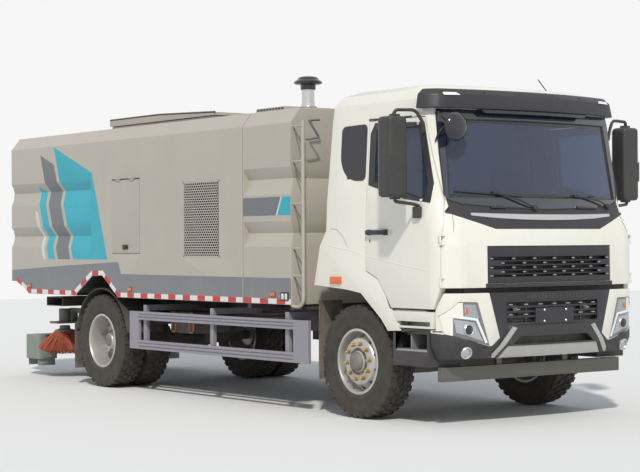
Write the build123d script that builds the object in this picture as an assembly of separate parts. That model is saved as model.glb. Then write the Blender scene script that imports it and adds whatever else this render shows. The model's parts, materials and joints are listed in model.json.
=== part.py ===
from build123d import *
import math
import os

# Street sweeper truck: a two-axle cab-over chassis with a closed sweeper body.
# Millimetres. +X is forward, +Y is left, +Z is up. The origin is on the ground,
# under the middle of the whole vehicle.

# Driving dimensions
wheelbase = 4500
front_axle_x = 2700
rear_axle_x = front_axle_x - wheelbase
tyre_radius = 512
bead_radius = 290
axle_z = tyre_radius
front_wheel_y = 1020
kingpin_y = 850
rear_outer_y = 1095
rear_inner_y = 765

rail_outer_y = 430
rail_flange = 80
rail_web = 10
rail_bottom = 700
rail_top = 950
rail_rear_x = -3300
rail_front_x = 3790

body_half_width = 1250
body_bottom = 1000
side_top = 2710
chamfer_half_width = 1140
chamfer_top = 2850
roof_z = 2875
body_rear_x = -3930
body_seam_x = 1030
body_front_x = 1830
body_wall = 90
seam_gap = 10
groove_depth = 60
front_groove_depth = 45
groove_rear_section_x = -1980
grooves = (  # top, bottom of the V, lower edge
    (2295, 2190, 2040),
    (1785, 1675, 1545),
)

cab_wall = 55
door_gap = 8
cab_pivot = (3970, 1000)
cab_pin_radius = 20

hopper_pivot_x = -3250
hopper_pivot_z = 930
pivot_pin_radius = 30
arm_pivot_x = -2700
arm_pivot_z = 790
arm_pin_radius = 25
tow_plate = 12
tow_bolt_y = 160
tow_bolt_z = 100
tow_z = 820
tow_hole_radius = 9
running_gap = 0.05

# Tipping cylinder, from its foot on the frame to the eye under the hopper floor
tip_foot = (-1100, 640)
tip_eye = (-2250, 945)
tip_length = math.dist(tip_foot, tip_eye)
tip_angle = math.degrees(math.atan2(tip_eye[1] - tip_foot[1], tip_eye[0] - tip_foot[0]))


def block(x0, x1, y0, y1, z0, z1):
    return Pos((x0 + x1) / 2, (y0 + y1) / 2, (z0 + z1) / 2) * Box(x1 - x0, y1 - y0, z1 - z0)


# A closed outline in the XZ plane, drawn out along Y
def along_y(points, y0, y1):
    outline = Polyline(*[(x, y0, z) for x, z in points], close=True)
    return extrude(make_face(outline), y1 - y0, dir=(0, 1, 0))


# A closed outline in the YZ plane, drawn out along X
def along_x(points, x0, x1):
    outline = Polyline(*[(x0, y, z) for y, z in points], close=True)
    return extrude(make_face(outline), x1 - x0, dir=(1, 0, 0))


# A ring or disc turned about the wheel axis; points are (radius, y)
def turned(points):
    outline = Polyline(*[(0, y, r) for r, y in points], close=True)
    return revolve(make_face(outline), Axis.Y, 360)


def rod_x(x0, x1, y, z, radius):
    return Pos((x0 + x1) / 2, y, z) * Rot(0, 90, 0) * Cylinder(radius, x1 - x0)


def rod_y(x, y0, y1, z, radius):
    return Pos(x, (y0 + y1) / 2, z) * Rot(90, 0, 0) * Cylinder(radius, y1 - y0)


def rod_z(x, y, z0, z1, radius):
    return Pos(x, y, (z0 + z1) / 2) * Cylinder(radius, z1 - z0)


# A round bar from one point to another
def strut(start, end, radius):
    way = Vector(*end) - Vector(*start)
    bar = Cylinder(radius, way.length, align=(Align.CENTER, Align.CENTER, Align.MIN))
    return Plane(origin=start, z_dir=way) * bar


def mirror_y(solid):
    return mirror(solid, Plane.XZ)


def fuse(pieces):
    return pieces[0].fuse(*pieces[1:])


def both_sides(solid):
    return Compound(children=[*solid.solids(), *mirror_y(solid).solids()])


os.makedirs("parts", exist_ok=True)


def save(name, shape):
    export_step(shape, f"parts/{name}.step")


# Chassis

# One channel rail with its open side inwards, at +Y
def rail(x0, x1):
    outer = block(x0, x1, rail_outer_y - rail_flange, rail_outer_y, rail_bottom, rail_top)
    inside = block(x0 - 1, x1 + 1, rail_outer_y - rail_flange - 1, rail_outer_y - rail_web,
                   rail_bottom + rail_web, rail_top - rail_web)
    return outer - inside


cross_member_x = (-3100, -2650, -1000, -200, 600, 1400, 2000)
pivot_beam_half_width = 1120


def chassis_frame():
    right_rail = rail(rail_rear_x, rail_front_x)
    pieces = [right_rail, mirror_y(right_rail)]
    for x in cross_member_x:
        reach = rail_outer_y - rail_web
        pieces.append(block(x - 40, x + 40, -reach, reach, rail_bottom + 30, rail_top - 40))
    # Front cross tube that carries the cab pivots and the radiator
    pieces.append(block(3700, 3790, -rail_outer_y, rail_outer_y, rail_bottom, rail_top - 20))
    # Rear plate with the four holes of a tow bar
    plate = block(rail_rear_x, rail_rear_x + tow_plate, -rail_outer_y + rail_web,
                  rail_outer_y - rail_web, rail_bottom + rail_web, rail_top - rail_web)
    for y in (-tow_bolt_y / 2, tow_bolt_y / 2):
        for z in (-tow_bolt_z / 2, tow_bolt_z / 2):
            plate -= rod_x(rail_rear_x - 1, rail_rear_x + tow_plate + 1, y, tow_z + z, tow_hole_radius)
    pieces.append(plate)
    # Guides of the suction nozzle, on the rear plate
    for side in (-1, 1):
        pieces.append(block(rail_rear_x - 40, rail_rear_x, side * 300 - 25, side * 300 + 25, 400, 900))
    for side in (-1, 1):
        # Pivot beam, pivot pin of the hopper and pivot pin of the brush arm
        y0, y1 = sorted((side * 500, side * pivot_beam_half_width))
        pieces.append(block(-3290, -2900, y0, y1, 860, 965)
                      - block(-3280, -2910, y0 - 1, y1 + 1, 870, 955))
        y0, y1 = sorted((side * (rail_outer_y - 5), side * 505))
        pieces.append(rod_y(hopper_pivot_x, y0, y1, hopper_pivot_z, pivot_pin_radius))
        pieces.append(block(-3100, -2960, y0, y1, 870, 940))
        y0, y1 = sorted((side * (rail_outer_y - 5), side * 790))
        pieces.append(rod_y(arm_pivot_x, y0, y1, arm_pivot_z, arm_pin_radius))
        # Bracket and pin that the cab tilts on
        y0, y1 = sorted((side * 355, side * 395))
        pieces.append(along_y([(3700, 760), (3790, 760), (4000, 950), (4000, 1025), (3950, 1035),
                               (3790, 930), (3700, 930)], y0, y1))
        y0, y1 = sorted((side * 390, side * 455))
        pieces.append(rod_y(cab_pivot[0], y0, y1, cab_pivot[1], cab_pin_radius))
        # Bearers under the body
        y0, y1 = sorted((side * 350, side * rail_outer_y))
        pieces.append(block(-3100, 1000, y0, y1, rail_top - 1, 992))
    for x in (1040, 1750):
        pieces.append(block(x, x + 60, -1200, 1200, rail_top, body_bottom))
    # Bracket and pin for the foot of the tipping cylinder
    for side in (-1, 1):
        y0, y1 = sorted((side * 68, side * 98))
        pieces.append(block(tip_foot[0] - 40, -960, y0, y1, tip_foot[1] - 40, 740))
    pieces.append(rod_y(tip_foot[0], -90, 90, tip_foot[1], 25))
    # Spring hangers under the rails
    for axle_x, half_span in ((front_axle_x, 720), (rear_axle_x, 720)):
        for end in (-1, 1):
            for side in (-1, 1):
                y = side * 390
                x = axle_x + end * half_span
                pieces.append(block(x - 30, x + 30, y - 38, y + 38, 655, rail_bottom))
    return fuse(pieces)


# Leaf spring pack under a rail at +Y
leaf_half_lengths = (700, 520, 360, 230)
leaf_thickness = 13
leaf_half_width = 38


def spring_pack(axle_x, middle_top):
    pieces = []
    for half_length in leaf_half_lengths:
        drop = 60 * (half_length / 700) ** 2
        step = leaf_thickness * len(pieces)
        top = middle_top - step
        arc = ThreePointArc((-half_length, 0, top + drop), (0, 0, top), (half_length, 0, top + drop))
        low = ThreePointArc((-half_length, 0, top + drop - leaf_thickness - 1),
                            (0, 0, top - leaf_thickness - 1),
                            (half_length, 0, top + drop - leaf_thickness - 1))
        ends = [Line(arc @ 0, low @ 0), Line(arc @ 1, low @ 1)]
        face = make_face([arc, low, *ends])
        pieces.append(extrude(face, leaf_half_width, both=True, dir=(0, 1, 0)))
    return Pos(axle_x, 390, 0) * fuse(pieces)


kingpin_radius = 30


def front_axle():
    beam = along_x([(-760, 440), (-620, 380), (620, 380), (760, 440), (850, 440), (850, 560),
                    (760, 560), (620, 500), (-620, 500), (-760, 560), (-850, 560), (-850, 440)],
                   front_axle_x - 40, front_axle_x + 40)
    pieces = [beam]
    for side in (-1, 1):
        pieces.append(block(front_axle_x - 90, front_axle_x + 90, side * 390 - 50, side * 390 + 50,
                            490, 545))
        pieces.append(rod_z(front_axle_x, side * kingpin_y, 440, 560, 44))
    spring = spring_pack(front_axle_x, 595)
    pieces += [spring, mirror_y(spring)]
    axle = fuse(pieces)
    for side in (-1, 1):
        axle -= rod_z(front_axle_x, side * kingpin_y, 400, 600, kingpin_radius + running_gap)
    return axle


spindle_radius = 45


# Steering knuckle of the left wheel: king pin, yoke, spindle and steering arm
def knuckle():
    pin = rod_z(front_axle_x, kingpin_y, 400, 624, kingpin_radius)
    lower_ear = block(front_axle_x - 45, front_axle_x + 45, 805, 935, 390, 433)
    upper_ear = block(front_axle_x - 45, front_axle_x + 45, 805, 935, 567, 634)
    yoke = block(front_axle_x - 60, front_axle_x + 60, 902, 935, 390, 634)
    spindle = rod_y(front_axle_x, 930, 1085, axle_z, spindle_radius)
    arm = block(front_axle_x - 260, front_axle_x - 40, 830, 870, 395, 425)
    return fuse([pin, lower_ear, upper_ear, yoke, spindle, arm])


def rear_axle():
    housing = rod_y(rear_axle_x, -600, 600, axle_z, 80)
    banjo = rod_y(rear_axle_x, -70, 70, axle_z, 190)
    stubs = rod_y(rear_axle_x, -1130, 1130, axle_z, 55)
    pieces = [housing, banjo, stubs, rod_x(rear_axle_x, rear_axle_x + 330, 0, axle_z, 80)]
    for side in (-1, 1):
        pieces.append(block(rear_axle_x - 90, rear_axle_x + 90, side * 390 - 50, side * 390 + 50,
                            axle_z - 20, 545))
    spring = spring_pack(rear_axle_x, 595)
    pieces += [spring, mirror_y(spring)]
    return fuse(pieces)


# Wheels, turned about Y with the outside of the vehicle towards +Y

tyre_outline = (  # radius, y
    (bead_radius, -112),
    (330, -132),
    (400, -140),
    (462, -134),
    (498, -122),
    (tyre_radius, -104),
    (tyre_radius, 104),
    (498, 122),
    (462, 134),
    (400, 140),
    (330, 132),
    (bead_radius, 112),
)


def tyre():
    return turned(tyre_outline)


rim_radius = 288


# Front rim: the disc bulges outwards and carries the hub; brake drum behind it
def front_rim():
    barrel = turned([(rim_radius, -118), (rim_radius, 118), (296, 124), (276, 128), (270, 112),
                     (270, -112), (276, -128), (296, -124)])
    disc = turned([(272, 20), (230, 40), (200, 92), (100, 104), (100, 118), (205, 106),
                   (240, 52), (272, 34)])
    hub = turned([(spindle_radius + running_gap, -60), (120, -60), (120, 60), (105, 112),
                  (60, 150), (0, 150), (0, 70), (spindle_radius + running_gap, 70)])
    drum = turned([(205, -80), (205, 30), (110, 30), (110, 20), (190, 20), (190, -80)])
    rim = fuse([barrel, disc, hub, drum])
    for i in range(10):
        angle = math.radians(36 * i)
        x = 232 * math.sin(angle)
        z = 232 * math.cos(angle)
        rim -= rod_y(x, 30, 130, z, 22)
    return rim


# Twin rear rims: both discs are bolted together between the tyres
twin_spacing = rear_outer_y - rear_inner_y


def rear_rims():
    outer = turned([(rim_radius, -118), (rim_radius, 118), (296, 124), (276, 128), (270, 112),
                    (262, 60), (250, -100), (215, -150), (215, -164), (262, -112), (270, -112),
                    (276, -128), (296, -124)])
    inner = Pos(0, -twin_spacing, 0) * turned(
        [(rim_radius, 118), (rim_radius, -118), (296, -124), (276, -128), (270, -112),
         (262, -60), (250, 100), (215, 150), (215, 164), (262, 112), (270, 112), (276, 128),
         (296, 124)])
    plate = turned([(218, -180), (218, -150), (100, -150), (100, -180)])
    hub = turned([(55 + running_gap, -380), (125, -380), (125, -110), (112, -20), (70, 40), (0, 40),
                  (0, 36), (55 + running_gap, 36)])
    rims = fuse([outer, plate, inner, hub])
    for i in range(10):
        angle = math.radians(36 * i)
        rims -= rod_y(190 * math.sin(angle), -190, -140, 190 * math.cos(angle), 22)
    return rims


# Sweeper body

def body_section(half_width, inset, bottom):
    w = half_width - inset
    c = chamfer_half_width - inset
    return [(-w, bottom), (w, bottom), (w, side_top - inset * 0.5), (c, chamfer_top - inset),
            (0, roof_z - inset), (-c, chamfer_top - inset), (-w, side_top - inset * 0.5)]


# V grooves along both sides between two x places
def side_grooves(x0, x1):
    cutters = []
    for top, middle, bottom in grooves:
        outside = body_half_width + 40
        inside = body_half_width - groove_depth
        outline = [(body_half_width, top), (inside, middle), (body_half_width, bottom),
                   (outside, bottom), (outside, top)]
        cutter = along_x(outline, x0, x1)
        cutters += [cutter, mirror_y(cutter)]
    return cutters


# V grooves across a face that looks along X
def end_grooves(face_x, direction, depth, half_width):
    cutters = []
    for top, middle, bottom in grooves:
        outside = face_x + direction * 40
        inside = face_x - direction * depth
        cutters.append(along_y([(face_x, top), (inside, middle), (face_x, bottom),
                                (outside, bottom), (outside, top)], -half_width, half_width))
    return cutters


def front_compartment():
    x0 = body_seam_x + seam_gap / 2
    shell = along_x(body_section(body_half_width, 0, body_bottom), x0, body_front_x)
    for cutter in side_grooves(x0 + 20, body_front_x + 1):
        shell -= cutter
    for cutter in end_grooves(body_front_x, 1, front_groove_depth, body_half_width + 1):
        shell -= cutter
    inside = along_x(body_section(body_half_width, body_wall, body_bottom - 1),
                     x0 + 60, body_front_x - 80)
    return shell - inside


rear_arch = ((-2324, 990), (-2324, 1023), (-1964, 1225), (-1739, 1233), (-1412, 1014), (-1412, 990))
arch_box = ((-2410, 990), (-2410, 1100), (-2000, 1320), (-1700, 1320), (-1320, 1100), (-1320, 990))
vent_x = (-60, 620)
vent_z = (1440, 2210)
hatch_x = (-1510, -930)
hatch_z = (1480, 2270)
lid_x = (-2440, -250)
lid_peak_x = -1380
lid_half_width = 740
lid_hinge = (-236, 2936)
lid_hinge_y = (-500, 500)
rear_hinge = (-3952, 2720)
rear_hinge_y = (-700, 700)
hatch_hinge = (1262, 2287)
hatch_hinge_x = (-1370, -1070)
hatch_pin_radius = 5
lid_pin_radius = 6
door_pin_radius = 9
floor_top = 1090


def hopper_shell():
    x1 = body_seam_x - seam_gap / 2
    shell = along_x(body_section(body_half_width, 0, body_bottom), body_rear_x, x1)
    for cutter in side_grooves(body_rear_x - 1, groove_rear_section_x):
        shell -= cutter
    inside = along_x(body_section(body_half_width, body_wall, floor_top), body_rear_x + 60, x1 - 60)
    for side in (-1, 1):
        y0, y1 = sorted((side * 520, side * body_half_width))
        inside -= along_y(arch_box, y0, y1)
    shell -= inside
    shell -= block(body_rear_x - 1, body_rear_x + 61, -1120, 1120, 1200, 2655)
    # Wheel arches through the skirts
    for side in (-1, 1):
        y0, y1 = sorted((side * 590, side * (body_half_width + 1)))
        shell -= along_y(rear_arch, y0, y1)
    # Rear lower corner cut away so that the hopper can tip
    shell -= along_y([(body_rear_x - 1, 990), (-3514, 990), (-3514, 1018), (-3813, 1142),
                      (body_rear_x - 1, 1142)], -body_half_width - 1, body_half_width + 1)
    # Side hatch and roof hatch openings
    for side in (-1, 1):
        y0, y1 = sorted((side * 1100, side * (body_half_width + 1)))
        shell -= block(hatch_x[0] + 20, hatch_x[1] - 20, y0, y1, hatch_z[0] + 20, hatch_z[1] - 20)
        y0, y1 = sorted((side * (body_half_width - 32), side * (body_half_width + 1)))
        shell -= block(hatch_x[0] - 6, hatch_x[1] + 6, y0, y1, hatch_z[0] - 6, hatch_z[1] + 14)
        y0, y1 = sorted((side * 1100, side * (body_half_width + 1)))
        shell -= block(vent_x[0] + 15, vent_x[1] - 15, y0, y1, vent_z[0] + 15, vent_z[1] - 15)
        y0, y1 = sorted((side * (body_half_width - 12), side * (body_half_width + 1)))
        shell -= block(vent_x[0], vent_x[1], y0, y1, vent_z[0], vent_z[1])
    curb = block(lid_x[0] + 20, lid_x[1] - 20, -lid_half_width + 20, lid_half_width - 20, 2800, 2925)
    shell += curb
    shell -= block(lid_x[0] + 50, lid_x[1] - 50, -lid_half_width + 50, lid_half_width - 50, 2700, 2930)
    # Hinge pins of the roof hatch and of the rear door, each between two ears
    for (x, z), places, pin, ear, foot in (
            (lid_hinge, lid_hinge_y, lid_pin_radius, 10, (-9, 9, -90, 0)),
            (rear_hinge, rear_hinge_y, door_pin_radius, 14, (0, 27, -13, 13))):
        for y in places:
            pieces = [rod_y(x, y - 60, y + 60, z, pin)]
            for ear_y in (y - 60, y + 45):
                pieces.append(rod_y(x, ear_y, ear_y + 15, z, ear))
                pieces.append(block(x + foot[0], x + foot[1], ear_y, ear_y + 15,
                                    z + foot[2], z + foot[3]))
            shell += fuse(pieces)
    # Hinge pins of the side hatches, each between two ears
    y, z = hatch_hinge
    for x in hatch_hinge_x:
        pieces = [rod_x(x - 55, x + 55, y, z, hatch_pin_radius)]
        for ear_x in (x - 55, x + 43):
            pieces.append(rod_x(ear_x, ear_x + 12, y, z, 9))
            pieces.append(block(ear_x, ear_x + 12, body_half_width - 20, y, z - 8, z + 8))
        ears = fuse(pieces)
        shell += ears
        shell += mirror_y(ears)
    # Pivot ears at the rear and the eye of the tipping cylinder
    for side in (-1, 1):
        y0, y1 = sorted((side * 445, side * 485))
        ear = block(hopper_pivot_x - 50, hopper_pivot_x + 50, y0, y1, hopper_pivot_z - 20, 1001)
        ear += rod_y(hopper_pivot_x, y0, y1, hopper_pivot_z, 50)
        shell += ear
        shell -= rod_y(hopper_pivot_x, y0 - 1, y1 + 1, hopper_pivot_z, pivot_pin_radius + running_gap)
        y0, y1 = sorted((side * 45, side * 70))
        shell += block(tip_eye[0] - 40, tip_eye[0] + 40, y0, y1, tip_eye[1] - 40, 1001)
    return shell


def vent_panels():
    plate = block(vent_x[0] + 1, vent_x[1] - 1, body_half_width - 11, body_half_width - 5,
                  vent_z[0] + 1, vent_z[1] - 1)
    return both_sides(plate)


def roof_hatch_lid():
    top = along_y([(lid_x[0], 2930), (lid_x[1], 2930), (lid_x[1], 2962), (lid_peak_x, 3008),
                   (lid_x[0], 2962)], -lid_half_width, lid_half_width)
    top -= block(lid_x[0] + 15, lid_x[1] - 15, -lid_half_width + 15, lid_half_width - 15,
                 2929, 2945)
    x, z = lid_hinge
    for y in lid_hinge_y:
        top += block(lid_x[1] - 5, x, y - 40, y + 40, z - 5, z + 11)
        top += rod_y(x, y - 40, y + 40, z, 12)
        top -= rod_y(x, y - 41, y + 41, z, lid_pin_radius + running_gap)
    return top


def side_hatch():
    hatch = block(hatch_x[0], hatch_x[1], body_half_width - 24, body_half_width + 2,
                  hatch_z[0], hatch_z[1])
    y, z = hatch_hinge
    for x in hatch_hinge_x:
        hatch += rod_x(x - 38, x + 38, y, z, 9)
        hatch += block(x - 38, x + 38, body_half_width - 4, y, hatch_z[1] - 12, hatch_z[1])
        hatch += block(x - 38, x + 38, y - 9, y, hatch_z[1] - 12, z)
        hatch -= rod_x(x - 39, x + 39, y, z, hatch_pin_radius + running_gap)
    return hatch


rear_door_x = (body_rear_x - 85, body_rear_x - 5)
rear_door_z = (1170, 2700)


def rear_door():
    door = block(rear_door_x[0], rear_door_x[1], -1190, 1190, rear_door_z[0], rear_door_z[1])
    for cutter in end_grooves(rear_door_x[0], -1, 45, 1191):
        door -= cutter
    x, z = rear_hinge
    for y in rear_hinge_y:
        door += block(x - 30, x, y - 40, y + 40, rear_door_z[1] - 5, z + 12)
        door += rod_y(x, y - 40, y + 40, z, 16)
        door -= rod_y(x, y - 41, y + 41, z, door_pin_radius + running_gap)
    return door


# Cab, as plan outlines at rising heights
cab_sections = (  # z, rear x, half width, corner start x, corner end x, corner end y, nose x
    (1000, 2124, 1175, 3720, 3970, 925, 4050),
    (1172, 2124, 1175, 3720, 3970, 925, 4050),
    (1550, 2200, 1175, 3720, 3965, 925, 4045),
    (1690, 2335, 1172, 3700, 3930, 950, 4015),
    (1940, 2365, 1165, 3600, 3790, 1045, 3925),
    (2660, 2460, 1120, 3500, 3680, 1010, 3800),
    (2810, 2478, 1100, 3480, 3650, 1000, 3765),
    (2880, 2540, 1040, 3430, 3590, 950, 3700),
    (2915, 2640, 940, 3330, 3480, 860, 3580),
)


def plan_face(z, rear_x, half_width, corner_x, end_x, end_y, front_x, inset):
    w = half_width - inset
    y = end_y - inset * 0.7
    x = end_x - inset * 0.7
    front = front_x - inset
    edges = [
        Line((rear_x + inset, -w, z), (corner_x, -w, z)),
        TangentArc((corner_x, -w, z), (x, -y, z), tangent=(1, 0, 0)),
        ThreePointArc((x, -y, z), (front, 0, z), (x, y, z)),
        TangentArc((corner_x, w, z), (x, y, z), tangent=(1, 0, 0)),
        Line((corner_x, w, z), (rear_x + inset, w, z)),
        Line((rear_x + inset, w, z), (rear_x + inset, -w, z)),
    ]
    return make_face(edges)


def cab_block(rows, inset):
    return loft([plan_face(*row, inset) for row in rows], ruled=True)


cab_floor_z = (1200, 1240)


# The same cab surface, moved inwards, between two heights
def cab_inside(inset, low, high):
    rows = []
    for a, b in zip(cab_sections, cab_sections[1:]):
        if b[0] <= low or a[0] >= high:
            continue
        for z in (max(a[0], low), min(b[0], high)):
            t = (z - a[0]) / (b[0] - a[0])
            row = tuple(p + t * (q - p) for p, q in zip(a, b))
            if not rows or rows[-1][0] < z - 0.5:
                rows.append(row)
    return cab_block(rows, inset)


door_hinge = (3852, 1150)
door_hinge_z = (1240, 1600)
cab_door_pin = 5
door_rear_x = 2870
door_inner_y = 1030
door_outline = ((door_rear_x, 1330), (3034, 1262), (3135, 1136), (3222, 1010), (3780, 1010),
                (3842, 1190), (3842, 1720), (3770, 1990), (3590, 2655), (door_rear_x, 2655))
door_window = ((2960, 2110), (2960, 2590), (3555, 2590), (3700, 2080), (3690, 1950), (3560, 1950))
quarter_window = ((2560, 2150), (2560, 2620), (2830, 2620), (2830, 2230), (2750, 2150))
windscreen_half_width = 1000
arch_cut = ((1900, 700), (1900, 1189), (2165, 1189), (2577, 1158), (2790, 1129), (3081, 906),
            (3174, 807), (3174, 700))
# The fender runs down in front of the wheel, below the cab floor
fender_tail = ((2960, 1001), (3081, 906), (3174, 807), (3345, 815), (3214, 1001))


# The outline moved outwards from its middle by a gap, or inwards if the gap is negative
def widen(points, gap):
    middle_x = (min(x for x, z in points) + max(x for x, z in points)) / 2
    middle_z = (min(z for x, z in points) + max(z for x, z in points)) / 2
    return [(x + gap * math.copysign(1, x - middle_x), z + gap * math.copysign(1, z - middle_z))
            for x, z in points]


def cab_walls():
    outer = cab_block(cab_sections, 0)
    inner = cab_inside(cab_wall, cab_floor_z[1], 2865)
    tunnel = block(2100, 3780, -440, 440, 1200, 1470)
    walls = outer - (inner - tunnel)
    walls -= cab_inside(cab_wall, 1000, cab_floor_z[0]) + block(2300, 3700, -900, 900, 900, 1001)
    walls -= block(2000, 3740, -400, 400, 900, 1430)
    return walls


def door_blank(walls, side):
    y0, y1 = sorted((side * door_inner_y, side * 1300))
    door = walls & along_y(door_outline, y0, y1)
    door -= along_y(door_window, y0, y1)
    x, y = door_hinge
    for z in door_hinge_z:
        y0, y1 = sorted((side * (y - 18), side * (y + 2)))
        door += block(x - 30, x - 6, y0, y1, z - 28, z + 28)
        door += rod_z(x, side * y, z - 28, z + 28, 10)
        door -= rod_z(x, side * y, z - 29, z + 29, cab_door_pin + running_gap)
    return door


def cab_shell(walls):
    shell = walls
    opening = widen(door_outline, door_gap)
    opening = [(x, z if z > 1100 else 900) for x, z in opening]
    for side in (-1, 1):
        y0, y1 = sorted((side * door_inner_y, side * 1300))
        shell -= along_y(opening, y0, y1)
        shell -= along_y(quarter_window, y0, y1)
    shell -= along_y(arch_cut, -1300, 1300)
    # Windscreen opening and the panel gap above the bumper
    shell -= along_x([(-windscreen_half_width, 1960), (windscreen_half_width, 1960),
                      (windscreen_half_width - 40, 2640), (-windscreen_half_width + 40, 2640)],
                     3640, 4100)
    shell -= block(3740, 4100, -1300, 1300, 900, 1190)
    shell -= cab_inside(18, 1150, 1262) & block(3860, 4100, -1200, 1200, 1100, 1262)
    shell -= block(3900, 4100, -745, 745, 1225, 1545)
    shell = max(shell.solids(), key=lambda s: s.volume)
    for side in (-1, 1):
        y0, y1 = sorted((side * (1175 - cab_wall), side * 1175))
        shell += along_y(fender_tail, y0, y1)
    # Ears that hang on the tilt pins
    x, z = cab_pivot
    for side in (-1, 1):
        y0, y1 = sorted((side * 405, side * 445))
        ear = along_y([(3815, 1235), (3858, 1235), (3866, 1150), (3893, 1072), (x, z + 30),
                       (x, z - 30), (x - 30, z - 25), (3850, 1050), (3815, 1150)], y0, y1)
        ear = fuse([ear, rod_y(x, y0, y1, z, 32)])
        shell += ear - rod_y(x, y0 - 1, y1 + 1, z, cab_pin_radius + running_gap)
    # Hinge pins of the doors, each between two lugs
    x, y = door_hinge
    for side in (-1, 1):
        y0, y1 = sorted((side * (y - 35), side * y))
        for z in door_hinge_z:
            pieces = [rod_z(x, side * y, z - 45, z + 45, cab_door_pin)]
            for lug_z in (z - 45, z + 31):
                pieces.append(rod_z(x, side * y, lug_z, lug_z + 14, 9))
                pieces.append(block(x - 5, x + 25, y0, y1, lug_z, lug_z + 14))
            shell += fuse(pieces)
    return shell


def cab_glass():
    slab = cab_inside(14, 1960, 2640) - cab_inside(22, 1950, 2650)
    screen = slab & along_x([(-990, 1966), (990, 1966), (952, 2634), (-952, 2634)], 3640, 4100)
    pieces = list(screen.solids())
    pane = slab_side_pane(quarter_window)
    return Compound(children=pieces + pane)


def slab_side_pane(outline):
    low = min(z for x, z in outline) - 20
    high = max(z for x, z in outline) + 20
    slab = cab_inside(14, low, high) - cab_inside(22, low - 5, high + 5)
    panes = []
    for side in (-1, 1):
        y0, y1 = sorted((side * 900, side * 1300))
        panes += (slab & along_y(widen(outline, -2), y0, y1)).solids()
    return panes


def door_glass(side):
    y0, y1 = sorted((side * 900, side * 1300))
    slab = cab_inside(20, 1930, 2610) - cab_inside(27, 1920, 2620)
    return slab & along_y(widen(door_window, -2), y0, y1)


grille_rows = ((1279, 1299), (1308, 1334), (1344, 1374), (1385, 1410), (1420, 1451))
grille_cell = 233
grille_half_width = 693


def grille():
    frame_piece = cab_inside(4, 1230, 1540) - cab_inside(44, 1225, 1545)
    panel = frame_piece & block(3860, 4100, -740, 740, 1230, 1540)
    cuts = []
    for row, (bottom, top) in enumerate(grille_rows):
        start = -grille_half_width + (row % 2) * grille_cell / 2
        count = 6 - row % 2
        for i in range(count):
            y = start + i * grille_cell
            cuts.append(block(3860, 4100, y, y + grille_cell - 12, bottom, top))
    return panel - cuts


def roof_visor():
    outer = cab_inside(-90, 2690, 2860)
    inner = cab_inside(-10, 2680, 2870)
    ring = outer - inner
    return ring & block(3560, 4100, -1300, 1300, 2690, 2860)


def cab_interior():
    pieces = []
    for y in (-650, 650):
        pieces.append(block(2900, 3380, y - 240, y + 240, 1500, 1640))
        pieces.append(along_y([(2820, 1600), (2940, 1640), (2860, 2250), (2760, 2250)],
                              y - 240, y + 240))
        pieces.append(block(2960, 3320, y - 180, y + 180, cab_floor_z[1], 1500))
    seats = Compound(children=[s for p in pieces for s in p.solids()])
    return seats


def dashboard():
    dash = along_y([(3600, 1500), (3770, 1500), (3770, 1890), (3700, 1920), (3560, 1800)],
                   -985, 985)
    column = Pos(3550, 600, 1850) * Rot(0, -60, 0) * Cylinder(25, 160)
    rim = Cylinder(226, 28) - Cylinder(194, 28)
    wheel = Pos(3480, 600, 1880) * Rot(0, -60, 0) * rim
    hub = Pos(3480, 600, 1880) * Rot(0, -60, 0) * Cylinder(50, 40)
    spokes = Pos(3480, 600, 1880) * Rot(0, -60, 0) * Box(30, 410, 14)
    return fuse([dash, column, hub, spokes, wheel])


# Bumper, lamps and steps, fixed to the frame
bumper_sections = (
    (585, 3600, 1120, 3720, 3930, 910, 4000),
    (700, 3600, 1170, 3720, 3965, 925, 4040),
    (1145, 3600, 1175, 3720, 3970, 925, 4050),
)
bumper_rear_edge = ((3600, 500), (3745, 500), (3745, 832), (3798, 832), (3798, 1000), (3868, 1146),
                    (3868, 1250), (3600, 1250))
lamp_outline = ((-849, 1062), (-727, 697), (-1121, 801), (-1147, 953), (-1029, 1067))
corner_outline = ((-747, 1200), (-617, 759), (-698, 692), (-727, 690), (-1121, 795), (-1300, 835),
                  (-1300, 1200))


skid_outline = ((-620, 580), (620, 580), (540, 685), (-540, 685))
lower_opening = ((-485, 700), (485, 700), (405, 765), (-405, 765))
raised_frame = ((-725, 586), (-498, 857), (498, 857), (725, 586), (621, 586), (541, 686),
                (-541, 686), (-621, 586))
lower_grille_half = 550
lower_grille_z = (885, 1060)


def mirrored(points):
    return [(-y, z) for y, z in points]


def bumper_ring():
    outer = cab_block(bumper_sections, 0)
    inner = cab_block([(z - 1 if z < 600 else z + (2 if z > 1000 else 0), *rest)
                       for z, *rest in bumper_sections], 25)
    return outer - inner - along_y(bumper_rear_edge, -1300, 1300)


def front_bumper(ring):
    bumper = ring
    for points in (corner_outline, mirrored(corner_outline)):
        bumper -= along_x(points, 3600, 4100)
    bumper -= along_x(skid_outline, 3900, 4100)
    # Raised frame about the lower opening
    raised = cab_block(bumper_sections, -14) - cab_block(bumper_sections, 24)
    bumper += raised & along_x(raised_frame, 3800, 4100)
    bumper -= along_x(lower_opening, 3900, 4100)
    # Lower grille with its bars and the bare plate bracket
    low, high = lower_grille_z
    bumper -= block(3950, 4100, -lower_grille_half, lower_grille_half, low, high)
    bars = cab_block(bumper_sections, 6) - cab_block(bumper_sections, 18)
    for z in (925, 968, 1011):
        bumper += bars & block(3800, 4100, -lower_grille_half - 5, lower_grille_half + 5, z, z + 16)
    for y in (-330, 0, 330):
        bumper += bars & block(3800, 4100, y - 7, y + 7, low - 5, high + 5)
    plate = cab_block(bumper_sections, -4) - cab_block(bumper_sections, 22)
    bumper += plate & block(3800, 4100, -230, 230, 868, 1005)
    return bumper


def bumper_corners(ring):
    corner = ring & along_x(widen_yz(corner_outline, -2), 3600, 4100)
    corner -= along_x(widen_yz(lamp_outline, 6), 3600, 4100)
    return both_sides(corner)


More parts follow.
